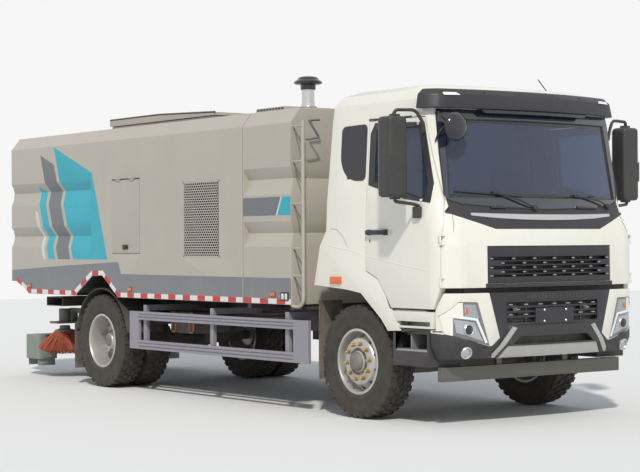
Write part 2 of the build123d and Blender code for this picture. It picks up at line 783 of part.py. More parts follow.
def widen_yz(points, gap):
    middle_y = sum(y for y, z in points) / len(points)
    middle_z = sum(z for y, z in points) / len(points)
    out = []
    for y, z in points:
        reach = math.hypot(y - middle_y, z - middle_z)
        k = 1 + gap / reach
        out.append((middle_y + k * (y - middle_y), middle_z + k * (z - middle_z)))
    return out


def headlamps():
    shell = cab_block(bumper_sections, 6) - cab_block(
        [(z - 1 if z < 600 else z + (2 if z > 1000 else 0), *rest)
         for z, *rest in bumper_sections], 70)
    head = shell & along_x(lamp_outline, 3760, 4100)
    head -= along_y(bumper_rear_edge, -1300, 1300)
    return both_sides(head)


def rear_lamps():
    return both_sides(block(body_rear_x - 25, body_rear_x, 1196, 1244, 1250, 1600))


def guard_bars():
    bar = cab_block(bumper_sections, -8) - cab_block(bumper_sections, 20)
    skid = bar & along_x(skid_outline, 3900, 4100)
    under = block(3720, 3780, -1075, 1075, 387, 512)
    for side in (-1, 1):
        under += block(3720, 3760, side * 400 - 30, side * 400 + 30, 500, rail_bottom)
    return Compound(children=[*skid.solids(), *under.solids()])


steer_sweep = 625


def steps():
    step = block(3250, 3735, 830, 1180, 515, 834)
    step -= block(3290, 3705, 985, 1200, 645, 795)
    step -= rod_z(front_axle_x, kingpin_y, 400, 900, steer_sweep)
    step -= block(3200, 3362, 1100, 1200, 797, 900)
    return both_sides(step)


def step_sills():
    sill = block(3190, 3778, 900, 1175, 842, 985)
    sill -= block(3220, 3740, 1000, 1200, 860, 900)
    sill -= rod_z(front_axle_x, kingpin_y, 400, 860, 560)
    sill -= along_y([(3100, 800), (3345, 800), *fender_tail[3:], (3100, 1001)], 1175 - cab_wall, 1200)
    return both_sides(sill)


guard_x = (-1164, 2080)
guard_y = (1205, 1240)


def side_guards():
    rails = []
    for z0, z1 in ((460, 555), (770, 860)):
        bar = block(guard_x[0], guard_x[1], guard_y[0], guard_y[1], z0, z1)
        bar -= block(guard_x[0] - 1, guard_x[1] + 1, guard_y[1] - 10, guard_y[1] + 1,
                     z0 + 26, z0 + 34)
        bar -= block(guard_x[0] - 1, guard_x[1] + 1, guard_y[1] - 10, guard_y[1] + 1,
                     z1 - 34, z1 - 26)
        rails.append(bar)
    rails.append(block(guard_x[0], guard_x[0] + 187, guard_y[0], guard_y[1], 460, 860))
    rails.append(block(guard_x[1] - 237, guard_x[1], guard_y[0], guard_y[1], 460, 860))
    for x in (-900, 400, 1700):
        rails.append(block(x - 30, x + 30, guard_y[0] - 40, guard_y[0], 460, 900))
        rails.append(block(x - 30, x + 30, rail_outer_y, guard_y[0], 870, 930))
    return both_sides(fuse(rails))


def fuel_tank():
    tank = block(150, 1250, 520, 1120, 420, 860)
    tank = fillet(tank.edges().filter_by(Axis.X), 90)
    for x in (350, 1050):
        tank += block(x - 30, x + 30, rail_outer_y, 560, 700, 860)
    return tank


def pump_unit():
    body = block(-700, -250, -1000, -620, 640, 860)
    body += block(-600, -350, -620, -rail_outer_y, 720, 840)
    return body


def rear_mudguards():
    ring = turned([(570, -305), (584, -305), (584, 145), (570, 145)])
    ring = Pos(rear_axle_x, rear_outer_y - 10, axle_z) * ring
    guard = ring & along_y([(-2500, 620), (-1100, 620), (-1300, 1200), (-2300, 1200)], 700, 1300)
    flap = block(rear_axle_x - 590, rear_axle_x - 578, 800, 1240, 180, 700)
    stay = block(rear_axle_x - 600, rear_axle_x - 570, rail_outer_y, 1000, 700, 740)
    stay += block(rear_axle_x + 530, rear_axle_x + 584, rail_outer_y, 860, 700, 740)
    return both_sides(fuse([guard, flap, stay]))


def front_flaps():
    flap = block(front_axle_x - 622, front_axle_x - 610, 780, 1110, 240, 1050)
    stay = block(front_axle_x - 640, front_axle_x - 622, rail_outer_y, 1000, 880, 930)
    return both_sides(flap + stay)


def engine_block():
    return block(2250, 3500, -330, 330, 600, 1380)


def auxiliary_engine():
    return block(1180, 1700, -600, 600, 990, 1900) + block(1250, 1650, -400, 400, 950, 1000)


def ladder():
    rail_x = 1990
    y = -1220
    pieces = [rod_z(rail_x, y, 1000, 2710, 18)]
    for z in (1274, 1529, 1946, 2342, 2672):
        pieces.append(rod_x(body_front_x, rail_x, y, z, 12))
    return fuse(pieces)


def intake_stack():
    x = 1710
    y = -950
    pipe = rod_z(x, y, 2820, 3110, 60)
    cap = Pos(x, y, 0) * revolve(make_face(Polyline(
        (0, 0, 3095), (135, 0, 3095), (135, 0, 3130), (100, 0, 3175), (0, 0, 3190), close=True)),
        Axis.Z, 360)
    return pipe + cap


def mirror_unit():
    housing = block(3500, 3640, -1520, -1310, 1960, 2650)
    housing = fillet(housing.edges(), 40)
    top_arm = strut((3565, -1410, 2640), (3590, -1400, 2690), 15)
    top_bar = strut((3590, -1405, 2680), (3600, -1120, 2630), 15)
    low_arm = strut((3570, -1330, 2010), (3585, -1150, 1900), 15)
    low_post = block(3545, 3625, -1205, -1150, 1840, 1935)
    return fuse([housing, top_arm, top_bar, low_arm, low_post])


def kerb_mirror():
    dish = Pos(3890, -980, 2560) * Rot(0, 90, 0) * Cylinder(125, 50)
    arm = block(3700, 3880, -1010, -980, 2640, 2670)
    return dish + arm


# Sweeping gear at the rear
brush_x = -3350
brush_y = 850
brush_radius = 350


def brush_arm():
    arm = block(-3400, arm_pivot_x, 700, 760, 760, 820)
    plate = block(-3450, -3250, 700, 1000, 640, 665)
    riser = block(-3400, -3300, 700, 760, 640, 800)
    motor = rod_z(brush_x, brush_y, 665, 815, 70)
    pivot = rod_y(arm_pivot_x, 690, 780, arm_pivot_z, 45)
    whole = fuse([arm, plate, riser, motor, pivot])
    return whole - rod_y(arm_pivot_x, 600, 800, arm_pivot_z, arm_pin_radius + running_gap)


def disc_brush():
    bristles = Pos(brush_x, brush_y, 0) * revolve(make_face(Polyline(
        (0, 0, 560), (110, 0, 560), (brush_radius, 0, 350), (brush_radius - 90, 0, 330),
        (60, 0, 500), (0, 0, 500), close=True)), Axis.Z, 360)
    hub = rod_z(brush_x, brush_y, 540, 632, 60)
    return bristles + hub


def nozzle_box():
    beam = block(-4050, -3720, -1020, 1020, 200, 490)
    beam = fillet(beam.edges().filter_by(Axis.Z), 50)
    beam -= block(-4051, -3719, -760, 760, 199, 285)
    for side in (-1, 1):
        beam += block(-3725, rail_rear_x - 46, side * 300 - 60, side * 300 + 60, 400, 470)
        y0, y1 = sorted((side * 770, side * 1000))
        beam += block(-4000, -3990, y0, y1, 120, 201) + block(-3760, -3750, y0, y1, 120, 201)
    return beam


barrel_length = 830
rod_radius = 35


def on_tip_axis(solid):
    return Pos(tip_foot[0], 0, tip_foot[1]) * Rot(0, -tip_angle, 0) * solid


def tip_barrel():
    tube = rod_x(40, barrel_length, 0, 0, 62) - rod_x(70, barrel_length - 30, 0, 0, 48)
    tube -= rod_x(barrel_length - 31, barrel_length + 1, 0, 0, rod_radius + running_gap)
    foot = rod_y(0, -40, 40, 0, 45) + block(0, 60, -30, 30, -30, 30)
    return on_tip_axis((tube + foot) - rod_y(0, -41, 41, 0, 25 + running_gap))


def tip_rod():
    rod = rod_x(130, tip_length - 20, 0, 0, rod_radius)
    eye = rod_y(tip_length, -38, 38, 0, 38)
    return on_tip_axis(rod + eye)


# Write every piece

ring = bumper_ring()
walls = cab_walls()
door_right = door_blank(walls, -1)
door_left = door_blank(walls, 1)

save("chassis_frame", chassis_frame())
save("front_axle", front_axle())
save("rear_axle", rear_axle())
save("engine_block", engine_block())
save("auxiliary_engine", auxiliary_engine())
save("front_bumper", front_bumper(ring))
save("bumper_corners", bumper_corners(ring))
save("headlamps", headlamps())
save("guard_bars", guard_bars())
save("steps", steps())
save("step_sills", step_sills())
save("side_guards", side_guards())
save("fuel_tank", fuel_tank())
save("pump_unit", pump_unit())
save("rear_mudguards", rear_mudguards())
save("front_flaps", front_flaps())
save("front_compartment", front_compartment())
save("ladder", ladder())
save("intake_stack", intake_stack())

save("hopper_shell", hopper_shell())
save("vent_panels", vent_panels())
save("roof_hatch_lid", roof_hatch_lid())
save("side_hatch_left", side_hatch())
save("side_hatch_right", mirror_y(side_hatch()))
save("rear_door", rear_door())
save("rear_lamps", rear_lamps())

save("cab_shell", cab_shell(walls))
save("cab_glass", cab_glass())
save("grille", grille())
save("roof_visor", roof_visor())
save("seats", cab_interior())
save("dashboard", dashboard())
save("kerb_mirror", kerb_mirror())
save("door_right", door_right)
save("door_left", door_left)
save("door_glass_right", door_glass(-1))
save("door_glass_left", door_glass(1))
save("mirror_right", mirror_unit())
save("mirror_left", mirror_y(mirror_unit()))

save("knuckle_left", knuckle())
save("knuckle_right", mirror_y(knuckle()))
front_left = Pos(front_axle_x, front_wheel_y, axle_z)
save("tyre_front_left", front_left * tyre())
save("rim_front_left", front_left * front_rim())
save("tyre_front_right", mirror_y(front_left * tyre()))
save("rim_front_right", mirror_y(front_left * front_rim()))
rear_left = Pos(rear_axle_x, rear_outer_y, axle_z)
twin_tyres = [rear_left * tyre(), rear_left * Pos(0, -twin_spacing, 0) * tyre()]
save("tyres_rear_left", Compound(children=[s for t in twin_tyres for s in t.solids()]))
save("rims_rear_left", rear_left * rear_rims())
save("tyres_rear_right", Compound(children=[mirror_y(s) for t in twin_tyres for s in t.solids()]))
save("rims_rear_right", mirror_y(rear_left * rear_rims()))

save("brush_arm_left", brush_arm())
save("brush_arm_right", mirror_y(brush_arm()))
save("disc_brush_left", disc_brush())
save("disc_brush_right", mirror_y(disc_brush()))
save("nozzle_box", nozzle_box())
save("tip_barrel", tip_barrel())
save("tip_rod", tip_rod())
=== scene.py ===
import json
import math
import random

import bpy
import bmesh
from mathutils import Euler, Matrix, Vector
from mathutils.bvhtree import BVHTree


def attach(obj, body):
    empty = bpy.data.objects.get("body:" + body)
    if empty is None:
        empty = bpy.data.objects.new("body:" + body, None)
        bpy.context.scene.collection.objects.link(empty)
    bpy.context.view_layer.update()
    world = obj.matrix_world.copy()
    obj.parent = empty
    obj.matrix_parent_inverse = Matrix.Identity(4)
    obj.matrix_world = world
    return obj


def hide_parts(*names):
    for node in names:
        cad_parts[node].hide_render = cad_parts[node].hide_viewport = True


# Street sweeper truck. Metres, +X forwards, +Y to the vehicle's left, +Z up, ground at zero.
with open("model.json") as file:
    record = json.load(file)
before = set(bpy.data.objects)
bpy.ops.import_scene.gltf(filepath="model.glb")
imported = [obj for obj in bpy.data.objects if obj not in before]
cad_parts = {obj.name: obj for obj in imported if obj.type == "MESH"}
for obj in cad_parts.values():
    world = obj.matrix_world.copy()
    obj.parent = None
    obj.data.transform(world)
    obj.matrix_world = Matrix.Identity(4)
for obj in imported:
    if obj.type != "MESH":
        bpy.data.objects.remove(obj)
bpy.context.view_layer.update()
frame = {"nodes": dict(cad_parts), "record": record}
nodes = frame["nodes"]
origin = (0, 0, 0)
sides = (("Right", "right", -1), ("Left", "left", 1))  # name, view and side of +Y
print("frame loaded,", len(nodes), "nodes")


# Small helpers for meshes

def newObject(name, data):
    obj = bpy.data.objects.new(name, data)
    bpy.context.scene.collection.objects.link(obj)
    return obj


def dropObjects(*objects):
    for obj in objects:
        bpy.data.objects.remove(obj)


def smoothMesh(mesh, sharpAngle=32):
    mesh.shade_smooth()
    mesh.set_sharp_from_angle(angle=math.radians(sharpAngle))


def meshObject(name, verts, faces):
    mesh = bpy.data.meshes.new(name)
    mesh.from_pydata([tuple(v) for v in verts], [], faces)
    mesh.validate()
    smoothMesh(mesh)
    return newObject(name, mesh)


def bmeshObject(name, bm, sharpAngle=32):
    mesh = bpy.data.meshes.new(name)
    bm.normal_update()
    bm.to_mesh(mesh)
    bm.free()
    smoothMesh(mesh, sharpAngle)
    return newObject(name, mesh)


# The evaluated shape of an object, so that a piece is only a mesh
def plainMesh(obj):
    graph = bpy.context.evaluated_depsgraph_get()
    graph.update()
    return bpy.data.meshes.new_from_object(obj.evaluated_get(graph), depsgraph=graph)


def joinMeshes(name, objects, sharpAngle=32):
    bm = bmesh.new()
    for obj in objects:
        part = obj.data.copy()
        part.transform(obj.matrix_world)
        bm.from_mesh(part)
        bpy.data.meshes.remove(part)
    dropObjects(*objects)
    return bmeshObject(name, bm, sharpAngle)


def flipMesh(mesh):
    mesh.transform(Matrix.Scale(-1, 4, (0, 1, 0)))
    mesh.flip_normals()


def addPiece(obj, body, finish, *replaced):
    obj.data.materials.clear()
    obj.data.materials.append(materials[finish])
    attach(obj, body)
    if replaced:
        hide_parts(*replaced)


def addJoined(name, objects, body, finish, *replaced, sharpAngle=32):
    addPiece(joinMeshes(name, objects, sharpAngle), body, finish, *replaced)


def addFaces(bm, verts, faces):
    for face in faces:
        bm.faces.new([verts[i] for i in face])


def softenEdges(bm, edges, width, segments=2):
    if width > 0:
        bmesh.ops.bevel(bm, geom=edges, offset=width, segments=segments, profile=0.6,
                        affect="EDGES", clamp_overlap=True)


# A copy of a carried-over node with its faces merged and its outer edges softened
def softenedCopy(nodeName, name, width, sharpAngle):
    bm = bmesh.new()
    bm.from_mesh(nodes[nodeName].data)
    bmesh.ops.remove_doubles(bm, verts=bm.verts, dist=0.00005)
    bmesh.ops.dissolve_limit(bm, angle_limit=math.radians(0.6), verts=bm.verts, edges=bm.edges)
    softenEdges(bm, [e for e in bm.edges if len(e.link_faces) == 2
                     and e.calc_face_angle_signed(0) > math.radians(30)], width)
    return bmeshObject(name, bm, sharpAngle)


boxFaces = ((0, 1, 3, 2), (4, 6, 7, 5), (0, 4, 5, 1), (2, 3, 7, 6), (0, 2, 6, 4), (1, 5, 7, 3))


def roundedBox(name, low, high, radius=0.004, segments=2):
    bm = bmesh.new()
    verts = [bm.verts.new((x, y, z)) for x in (low[0], high[0]) for y in (low[1], high[1])
             for z in (low[2], high[2])]
    addFaces(bm, verts, boxFaces)
    bmesh.ops.recalc_face_normals(bm, faces=bm.faces)
    softenEdges(bm, list(bm.edges), radius, segments)
    return bmeshObject(name, bm)


# A corner between two neighbours, drawn as a short curve
def roundedCorner(before, corner, after, reach, steps):
    back, ahead = before - corner, after - corner
    reach = min(reach, back.length * 0.45, ahead.length * 0.45)
    start = corner + back.normalized() * reach
    end = corner + ahead.normalized() * reach
    return [start * (1 - t) ** 2 + corner * 2 * t * (1 - t) + end * t ** 2
            for t in (i / steps for i in range(steps + 1))]


# A round tube along a list of points, with rounded bends
def tubeAlong(name, points, radius, around=12, bend=0.04):
    curve = bpy.data.curves.new(name, "CURVE")
    curve.dimensions = "3D"
    curve.bevel_depth = radius
    curve.bevel_resolution = max(1, around // 4 - 1)
    curve.use_fill_caps = True
    points = [Vector(p) for p in points]
    path = [points[0]]
    for before, corner, after in zip(points, points[1:], points[2:]):
        path += roundedCorner(before, corner, after, bend, 5)
    path.append(points[-1])
    spline = curve.splines.new("POLY")
    spline.points.add(len(path) - 1)
    for point, place in zip(spline.points, path):
        point.co = (*place, 1)
    obj = newObject(name, curve)
    mesh = plainMesh(obj)
    dropObjects(obj)
    smoothMesh(mesh, 50)
    return newObject(name, mesh)


def roundedOutline(points, radius, steps):
    closed = [Vector((*p, 0)) for p in points]
    return [(p.x, p.y) for i, corner in enumerate(closed)
            for p in roundedCorner(closed[i - 1], corner, closed[(i + 1) % len(closed)], radius,
                                   steps)]


# A closed outline of (radius, along) turned about an axis through centre
def turnedPiece(name, outline, centre=origin, axis="Y", steps=48, sharpAngle=32):
    bm = bmesh.new()
    made = []
    for step in range(steps):
        angle = 2 * math.pi * step / steps
        for radius, along in outline:
            a, b = radius * math.cos(angle), radius * math.sin(angle)
            spot = {"X": (along, a, b), "Y": (a, along, b), "Z": (a, b, along)}[axis]
            made.append(bm.verts.new([c + s for c, s in zip(centre, spot)]))
    count = len(outline)
    addFaces(bm, made, [(step * count + i, step * count + (i + 1) % count,
                         (step + 1) % steps * count + (i + 1) % count,
                         (step + 1) % steps * count + i)
                        for step in range(steps) for i in range(count)])
    bmesh.ops.remove_doubles(bm, verts=bm.verts, dist=0.00002)
    bmesh.ops.recalc_face_normals(bm, faces=bm.faces)
    return bmeshObject(name, bm, sharpAngle)


# Rays onto the CAD faces, so that trim and paint lie on what carries them

def surfaceOf(*names):
    bm = bmesh.new()
    for name in names:
        bm.from_mesh(nodes[name].data)
    tree = BVHTree.FromBMesh(bm)
    bm.free()
    return tree


# Each view looks along one axis: where a ray starts for the two outline values, and its way
viewRays = {
    "front": (lambda a, b: (5, a, b), Vector((-1, 0, 0))),
    "right": (lambda a, b: (a, -2, b), Vector((0, 1, 0))),
    "left": (lambda a, b: (a, 2, b), Vector((0, -1, 0))),
}


def dropOn(skin, view, a, b, lift=0.0):
    start, way = viewRays[view]
    for side in (0.0, 0.012, -0.012, 0.03, -0.03):
        place, normal, face, distance = skin.ray_cast(Vector(start(a + side, b)), way)
        if place is not None:
            kept = Vector(start(a, b))
            return kept + way * (place - kept).dot(way) - way * lift
    return None


# A sheet's faces get a thickness along a way
def thicken(bm, shift):
    made = bmesh.ops.extrude_face_region(bm, geom=bm.faces[:])
    for item in made["geom"]:
        if isinstance(item, bmesh.types.BMVert):
            item.co += shift
    bmesh.ops.recalc_face_normals(bm, faces=bm.faces)


# A thin skin laid on the surface behind an outline; it is closed, and sunk in by its thickness
def drape(name, faces, view, skin, lift=0.001, thick=0.003, cell=0.05, folds=(), steps=()):
    bm = bmesh.new()
    for outline in faces:
        bm.faces.new([bm.verts.new((a, b, 0)) for a, b in outline])
    bmesh.ops.remove_doubles(bm, verts=bm.verts, dist=0.0001)
    for axis in (0, 1):
        low = min(v.co[axis] for v in bm.verts)
        high = max(v.co[axis] for v in bm.verts)
        count = max(1, math.ceil((high - low) / cell))
        cuts = [low + (high - low) * i / count for i in range(1, count)]
        cuts += [fold for fold in (steps, folds)[axis] if low < fold < high]
        for place in cuts:
            bmesh.ops.bisect_plane(bm, geom=bm.verts[:] + bm.edges[:] + bm.faces[:], dist=0.00001,
                                   plane_co=(place, place, 0), plane_no=(axis == 0, axis == 1, 0))
    start, way = viewRays[view]
    missed = []
    depths = []
    for vert in bm.verts:
        found = dropOn(skin, view, vert.co.x, vert.co.y)
        if found is None:
            missed.append(vert)
            continue
        depths.append(found.dot(way))
        vert.co = found - way * lift
    usual = sorted(depths)[len(depths) // 2]
    for vert in missed:
        place = Vector(start(vert.co.x, vert.co.y))
        vert.co = place + way * (usual - place.dot(way) - lift)
    thicken(bm, way * thick)
    return bmeshObject(name, bm)


def addDraped(name, faces, view, skin, body, finish, lift, thick, cell, *cuts):
    addPiece(drape(name, faces, view, skin, lift, thick, cell, *cuts), body, finish)


# Points along the edges of an outline
def denser(points, count=6):
    return [(x0 + (x1 - x0) * k / count, z0 + (z1 - z0) * k / count)
            for (x0, z0), (x1, z1) in zip(points, (*points[1:], points[0])) for k in range(count)]


# Quads between two outlines that have the same number of points
def ringFaces(outer, inner, count=6):
    outer, inner = denser(outer, count), denser(inner, count)
    after = [*range(1, len(outer)), 0]
    return [(outer[i], outer[j], inner[j], inner[i]) for i, j in enumerate(after)]


# A strip of even width beside a path, with mitred corners
def stripFaces(path, width):
    beside = []
    for i, point in enumerate(path):
        before = Vector(path[max(0, i - 1)])
        after = Vector(path[min(len(path) - 1, i + 1)])
        here = Vector(point)
        ahead = (after - here).normalized() if i < len(path) - 1 else (here - before).normalized()
        back = (here - before).normalized() if i > 0 else ahead
        normal = Vector((-(ahead.y + back.y), ahead.x + back.x)).normalized()
        share = max(0.4, normal.dot(Vector((-ahead.y, ahead.x))))
        beside.append(tuple(here + normal * (width / share)))
    return [(path[i], path[i + 1], beside[i + 1], beside[i]) for i in range(len(path) - 1)]


# A round line that follows the surface behind a path
def drapedTube(name, path, view, skin, radius, lift=0.0, step=0.04, around=8, bend=0.01):
    places = []
    for start, end in zip(path, path[1:]):
        a, b = Vector(start), Vector(end)
        count = max(1, math.ceil((b - a).length / step))
        places += [dropOn(skin, view, *a.lerp(b, i / count), lift) for i in range(count)]
    places.append(dropOn(skin, view, *path[-1], lift))
    return tubeAlong(name, [p for p in places if p is not None], radius, around, bend)


def addLine(name, path, view, skin, body, finish, *shape):
    addPiece(drapedTube(name, path, view, skin, *shape), body, finish)


# The same points for a side; outlines in the front view are written for the right
def onSide(points, turn):
    return points if turn < 0 else [(-a, b) for a, b in points]


def rectangle(a0, b0, a1, b1):
    return [((a0, b0), (a1, b0), (a1, b1), (a0, b1))]


def valueAt(rows, at, column=1):
    for low, high in zip(rows, rows[1:]):
        if low[0] <= at <= high[0]:
            share = (at - low[0]) / (high[0] - low[0])
            return low[column] + share * (high[column] - low[column])
    return 0.0


# Quads between two lines that run the same way along the first outline value
def betweenLines(lower, upper):
    low = max(lower[0][0], upper[0][0])
    high = min(lower[-1][0], upper[-1][0])
    places = sorted({a for a, b in lower + upper if low <= a <= high})
    return [((a, valueAt(lower, a)), (b, valueAt(lower, b)), (b, valueAt(upper, b)),
             (a, valueAt(upper, a))) for a, b in zip(places, places[1:])]


# A path cut into runs of even length, with its corners kept
def cutPath(path, length):
    runs = [[Vector(path[0])]]
    left = length
    for start, end in zip(path, path[1:]):
        here, end = Vector(start), Vector(end)
        while (end - here).length > left:
            here = here + (end - here).normalized() * left
            runs[-1].append(here)
            runs.append([here])
            left = length
        left -= (end - here).length
        runs[-1].append(end)
    return [[tuple(p) for p in run] for run in runs if (run[-1] - run[0]).length > 0.01]


# Moves a piece made about the origin, +X outwards, onto the surface
def seatPiece(obj, skin, view, a, b, sink=0.0):
    start, way = viewRays[view]
    place, normal, face, distance = skin.ray_cast(Vector(start(a, b)), way)
    if normal.dot(way) > 0:
        normal = -normal
    up = Vector((0, 0, 1)) if abs(normal.z) < 0.9 else Vector((1, 0, 0))
    side = up.cross(normal).normalized()
    turn = Matrix((normal, side, normal.cross(side))).transposed().to_4x4()
    obj.data.transform(Matrix.Translation(place - normal * sink) @ turn)
    return obj


# A soft-edged box on the surface; size is depth, width and height
def seatedBox(name, skin, view, a, b, size, radius=0.003, sink=0.002):
    depth, width, height = size
    box = roundedBox(name, (0, -width / 2, -height / 2), (depth, width / 2, height / 2), radius)
    return seatPiece(box, skin, view, a, b, sink)


def addSeated(name, skin, view, spot, size, body, finish, *shape):
    addPiece(seatedBox(name, skin, view, *spot, size, *shape), body, finish)


# A hexagonal nut on its washer, standing along +Y at a radius above the Y axis
def makeNut(radius, base, height, size):
    bm = bmesh.new()
    hexagon = [(size * math.cos(math.radians(a)), size * math.sin(math.radians(a)) + radius)
               for a in range(30, 390, 60)]
    ends = [[bm.verts.new((x, y, z)) for x, z in hexagon] for y in (base, base + height)]
    bm.faces.new(ends[0])
    bm.faces.new(ends[1])
    for i in range(6):
        j = (i + 1) % 6
        bm.faces.new((ends[0][i], ends[0][j], ends[1][j], ends[1][i]))
    bmesh.ops.recalc_face_normals(bm, faces=bm.faces)
    softenEdges(bm, [e for e in bm.edges if e.calc_face_angle(0) > math.radians(25)],
                size * 0.14, 1)
    washer = turnedPiece("washer", [(0, base - 0.001), (size * 1.25, base - 0.001),
                                    (size * 1.25, base + 0.004), (0, base + 0.004)],
                         (0, 0, radius), steps=14)
    return joinMeshes("nut", [bmeshObject("body", bm), washer])


# Node trees

def addNode(tree, kind, inputs=None, **settings):
    node = tree.nodes.new(kind)
    for key, value in settings.items():
        setattr(node, key, value)
    for key, value in (inputs or {}).items():
        if isinstance(value, bpy.types.NodeSocket):
            tree.links.new(value, node.inputs[key])
        else:
            node.inputs[key].default_value = value
    return node


def mathNode(tree, operation, *values, **settings):
    return addNode(tree, "ShaderNodeMath", dict(enumerate(values)), operation=operation,
                   **settings).outputs[0]


def scaledVector(tree, vector, factor):
    return addNode(tree, "ShaderNodeVectorMath", {0: vector, "Scale": factor},
                   operation="SCALE").outputs[0]


# Sockets are (name, type, value); the first output is the one the group gives
def newTree(name, kind, inputs, output):
    tree = bpy.data.node_groups.new(name, kind)
    for label, socketType, value in inputs:
        socket = tree.interface.new_socket(name=label, in_out="INPUT",
                                           socket_type="NodeSocket" + socketType)
        if value is not None:
            socket.default_value = value
    tree.interface.new_socket(name=output[0], in_out="OUTPUT",
                              socket_type="NodeSocket" + output[1])
    return tree, tree.nodes.new("NodeGroupInput").outputs, tree.nodes.new("NodeGroupOutput").inputs


def newGeometryTree(name, inputs):
    return newTree(name, "GeometryNodeTree", [*inputs, ("Finish", "Material", None)],
                   ("Geometry", "Geometry"))


# Copies on points, turned about the origin where asked, made real and given their material
def finishTree(tree, entry, leave, count, places, part, rotation=None, turn=None):
    points = addNode(tree, "GeometryNodePoints", {"Count": count, **places})
    copies = addNode(tree, "GeometryNodeInstanceOnPoints",
                     {"Points": points.outputs[0], "Instance": part, **(rotation or {})})
    if turn is not None:
        copies = addNode(tree, "GeometryNodeRotateInstances",
                         {"Instances": copies.outputs[0], "Rotation": turn, "Local Space": False})
    real = addNode(tree, "GeometryNodeRealizeInstances", {"Geometry": copies.outputs[0]})
    done = addNode(tree, "GeometryNodeSetMaterial",
                   {"Geometry": real.outputs[0], "Material": entry["Finish"]})
    tree.links.new(done.outputs[0], leave["Geometry"])
    return tree


def partInstance(tree, entry):
    return addNode(tree, "GeometryNodeObjectInfo",
                   {"Object": entry["Part"], "As Instance": True}).outputs["Geometry"]


# Runs a geometry tree on a fresh object and keeps the result as a plain mesh; the values are
# named as the tree's sockets, in camel case
def growMesh(name, tree, finish, **values):
    obj = newObject(name, bpy.data.meshes.new(name))
    modifier = obj.modifiers.new("grow", "NODES")
    modifier.node_group = tree
    values = {"finish": materials[finish], **values}
    for item in tree.interface.items_tree:
        first, *more = item.name.split()
        key = first.lower() + "".join(word.title() for word in more)
        if item.item_type == "SOCKET" and item.in_out == "INPUT" and key in values:
            modifier[item.identifier] = values[key]
    mesh = plainMesh(obj)
    obj.modifiers.clear()
    obj.data = mesh
    smoothMesh(mesh)
    return obj


# Copies of a part turned in steps about the Y axis through the origin
def makeRingTree():
    tree, entry, leave = newGeometryTree("ringOfParts", [
        ("Part", "Object", None), ("Count", "Int", 10), ("Turn", "Float", 0.0)])
    index = addNode(tree, "GeometryNodeInputIndex").outputs[0]
    step = mathNode(tree, "DIVIDE", 2 * math.pi, entry["Count"])
    angle = mathNode(tree, "MULTIPLY_ADD", index, step, entry["Turn"])
    turn = addNode(tree, "ShaderNodeCombineXYZ", {"Y": angle}).outputs[0]
    return finishTree(tree, entry, leave, entry["Count"], {}, partInstance(tree, entry), turn=turn)


# Copies of a part on a grid; every second row is moved sideways
def makeGridTree():
    tree, entry, leave = newGeometryTree("gridOfParts", [
        ("Part", "Object", None), ("Columns", "Int", 4), ("Rows", "Int", 1),
        ("Column step", "Vector", None), ("Row step", "Vector", None),
        ("Stagger", "Vector", None)])
    total = mathNode(tree, "MULTIPLY", entry["Columns"], entry["Rows"])
    index = addNode(tree, "GeometryNodeInputIndex").outputs[0]
    row = mathNode(tree, "FLOOR", mathNode(tree, "DIVIDE", index, entry["Columns"]))
    column = mathNode(tree, "FLOORED_MODULO", index, entry["Columns"])
    odd = mathNode(tree, "FLOORED_MODULO", row, 2.0)
    place = scaledVector(tree, entry["Column step"], column)
    for socket, factor in (("Row step", row), ("Stagger", odd)):
        scaled = scaledVector(tree, entry[socket], factor)
        place = addNode(tree, "ShaderNodeVectorMath", {0: place, 1: scaled},
                        operation="ADD").outputs[0]
    return finishTree(tree, entry, leave, total, {"Position": place}, partInstance(tree, entry))


# Bristles on rings of a cone: each leans out from the axis, with a little disorder
def makeBristleTree():
    tree, entry, leave = newGeometryTree("bristleCrown", [
        ("Bristles", "Int", 900), ("Inner radius", "Float", 0.05), ("Outer radius", "Float", 0.11),
        ("Length", "Float", 0.3), ("Thickness", "Float", 0.003), ("Lean inner", "Float", 0.5),
        ("Lean outer", "Float", 0.9), ("Seed", "Int", 3)])
    index = addNode(tree, "GeometryNodeInputIndex").outputs[0]

    def randomValue(low, high, seed):
        return addNode(tree, "FunctionNodeRandomValue",
                       {2: low, 3: high, "ID": index, "Seed": seed}).outputs[1]

    def spreadOver(low, high):
        return addNode(tree, "ShaderNodeMapRange", {"Value": spread, "To Min": entry[low],
                                                    "To Max": entry[high]}).outputs[0]

    def combined(**parts):
        return addNode(tree, "ShaderNodeCombineXYZ", parts).outputs[0]

    strand = addNode(tree, "GeometryNodeMeshCone", {
        "Vertices": 5, "Side Segments": 3, "Radius Top": 0.6, "Radius Bottom": 1.0, "Depth": 1.0})
    size = combined(X=entry["Thickness"], Y=entry["Thickness"], Z=entry["Length"])
    sized = addNode(tree, "GeometryNodeTransform", {"Geometry": strand.outputs["Mesh"],
                                                    "Scale": size}).outputs[0]
    spread = randomValue(0.0, 1.0, entry["Seed"])
    around = randomValue(0.0, 2 * math.pi, 71)
    tilt = mathNode(tree, "ADD", spreadOver("Lean inner", "Lean outer"),
                    randomValue(-0.09, 0.09, 19))
    direction = combined(X=mathNode(tree, "COSINE", around), Y=mathNode(tree, "SINE", around))
    place = scaledVector(tree, direction, spreadOver("Inner radius", "Outer radius"))
    turn = combined(Y=mathNode(tree, "SUBTRACT", math.pi, tilt), Z=around)
    return finishTree(tree, entry, leave, entry["Bristles"], {"Position": place}, sized,
                      {"Rotation": turn})


ringTree = makeRingTree()
gridTree = makeGridTree()
bristleTree = makeBristleTree()


# Shared shader groups. Each gives a mask or a height that changes over the surface.

def newShaderGroup(name, inputs, output="Mask"):
    tree, entry, leave = newTree(name, "ShaderNodeTree",
                                 [(label, "Float", value) for label, value in inputs.items()],
                                 (output, "Float"))
    point = addNode(tree, "ShaderNodeTexCoord").outputs["Object"]
    return tree, entry, leave, point


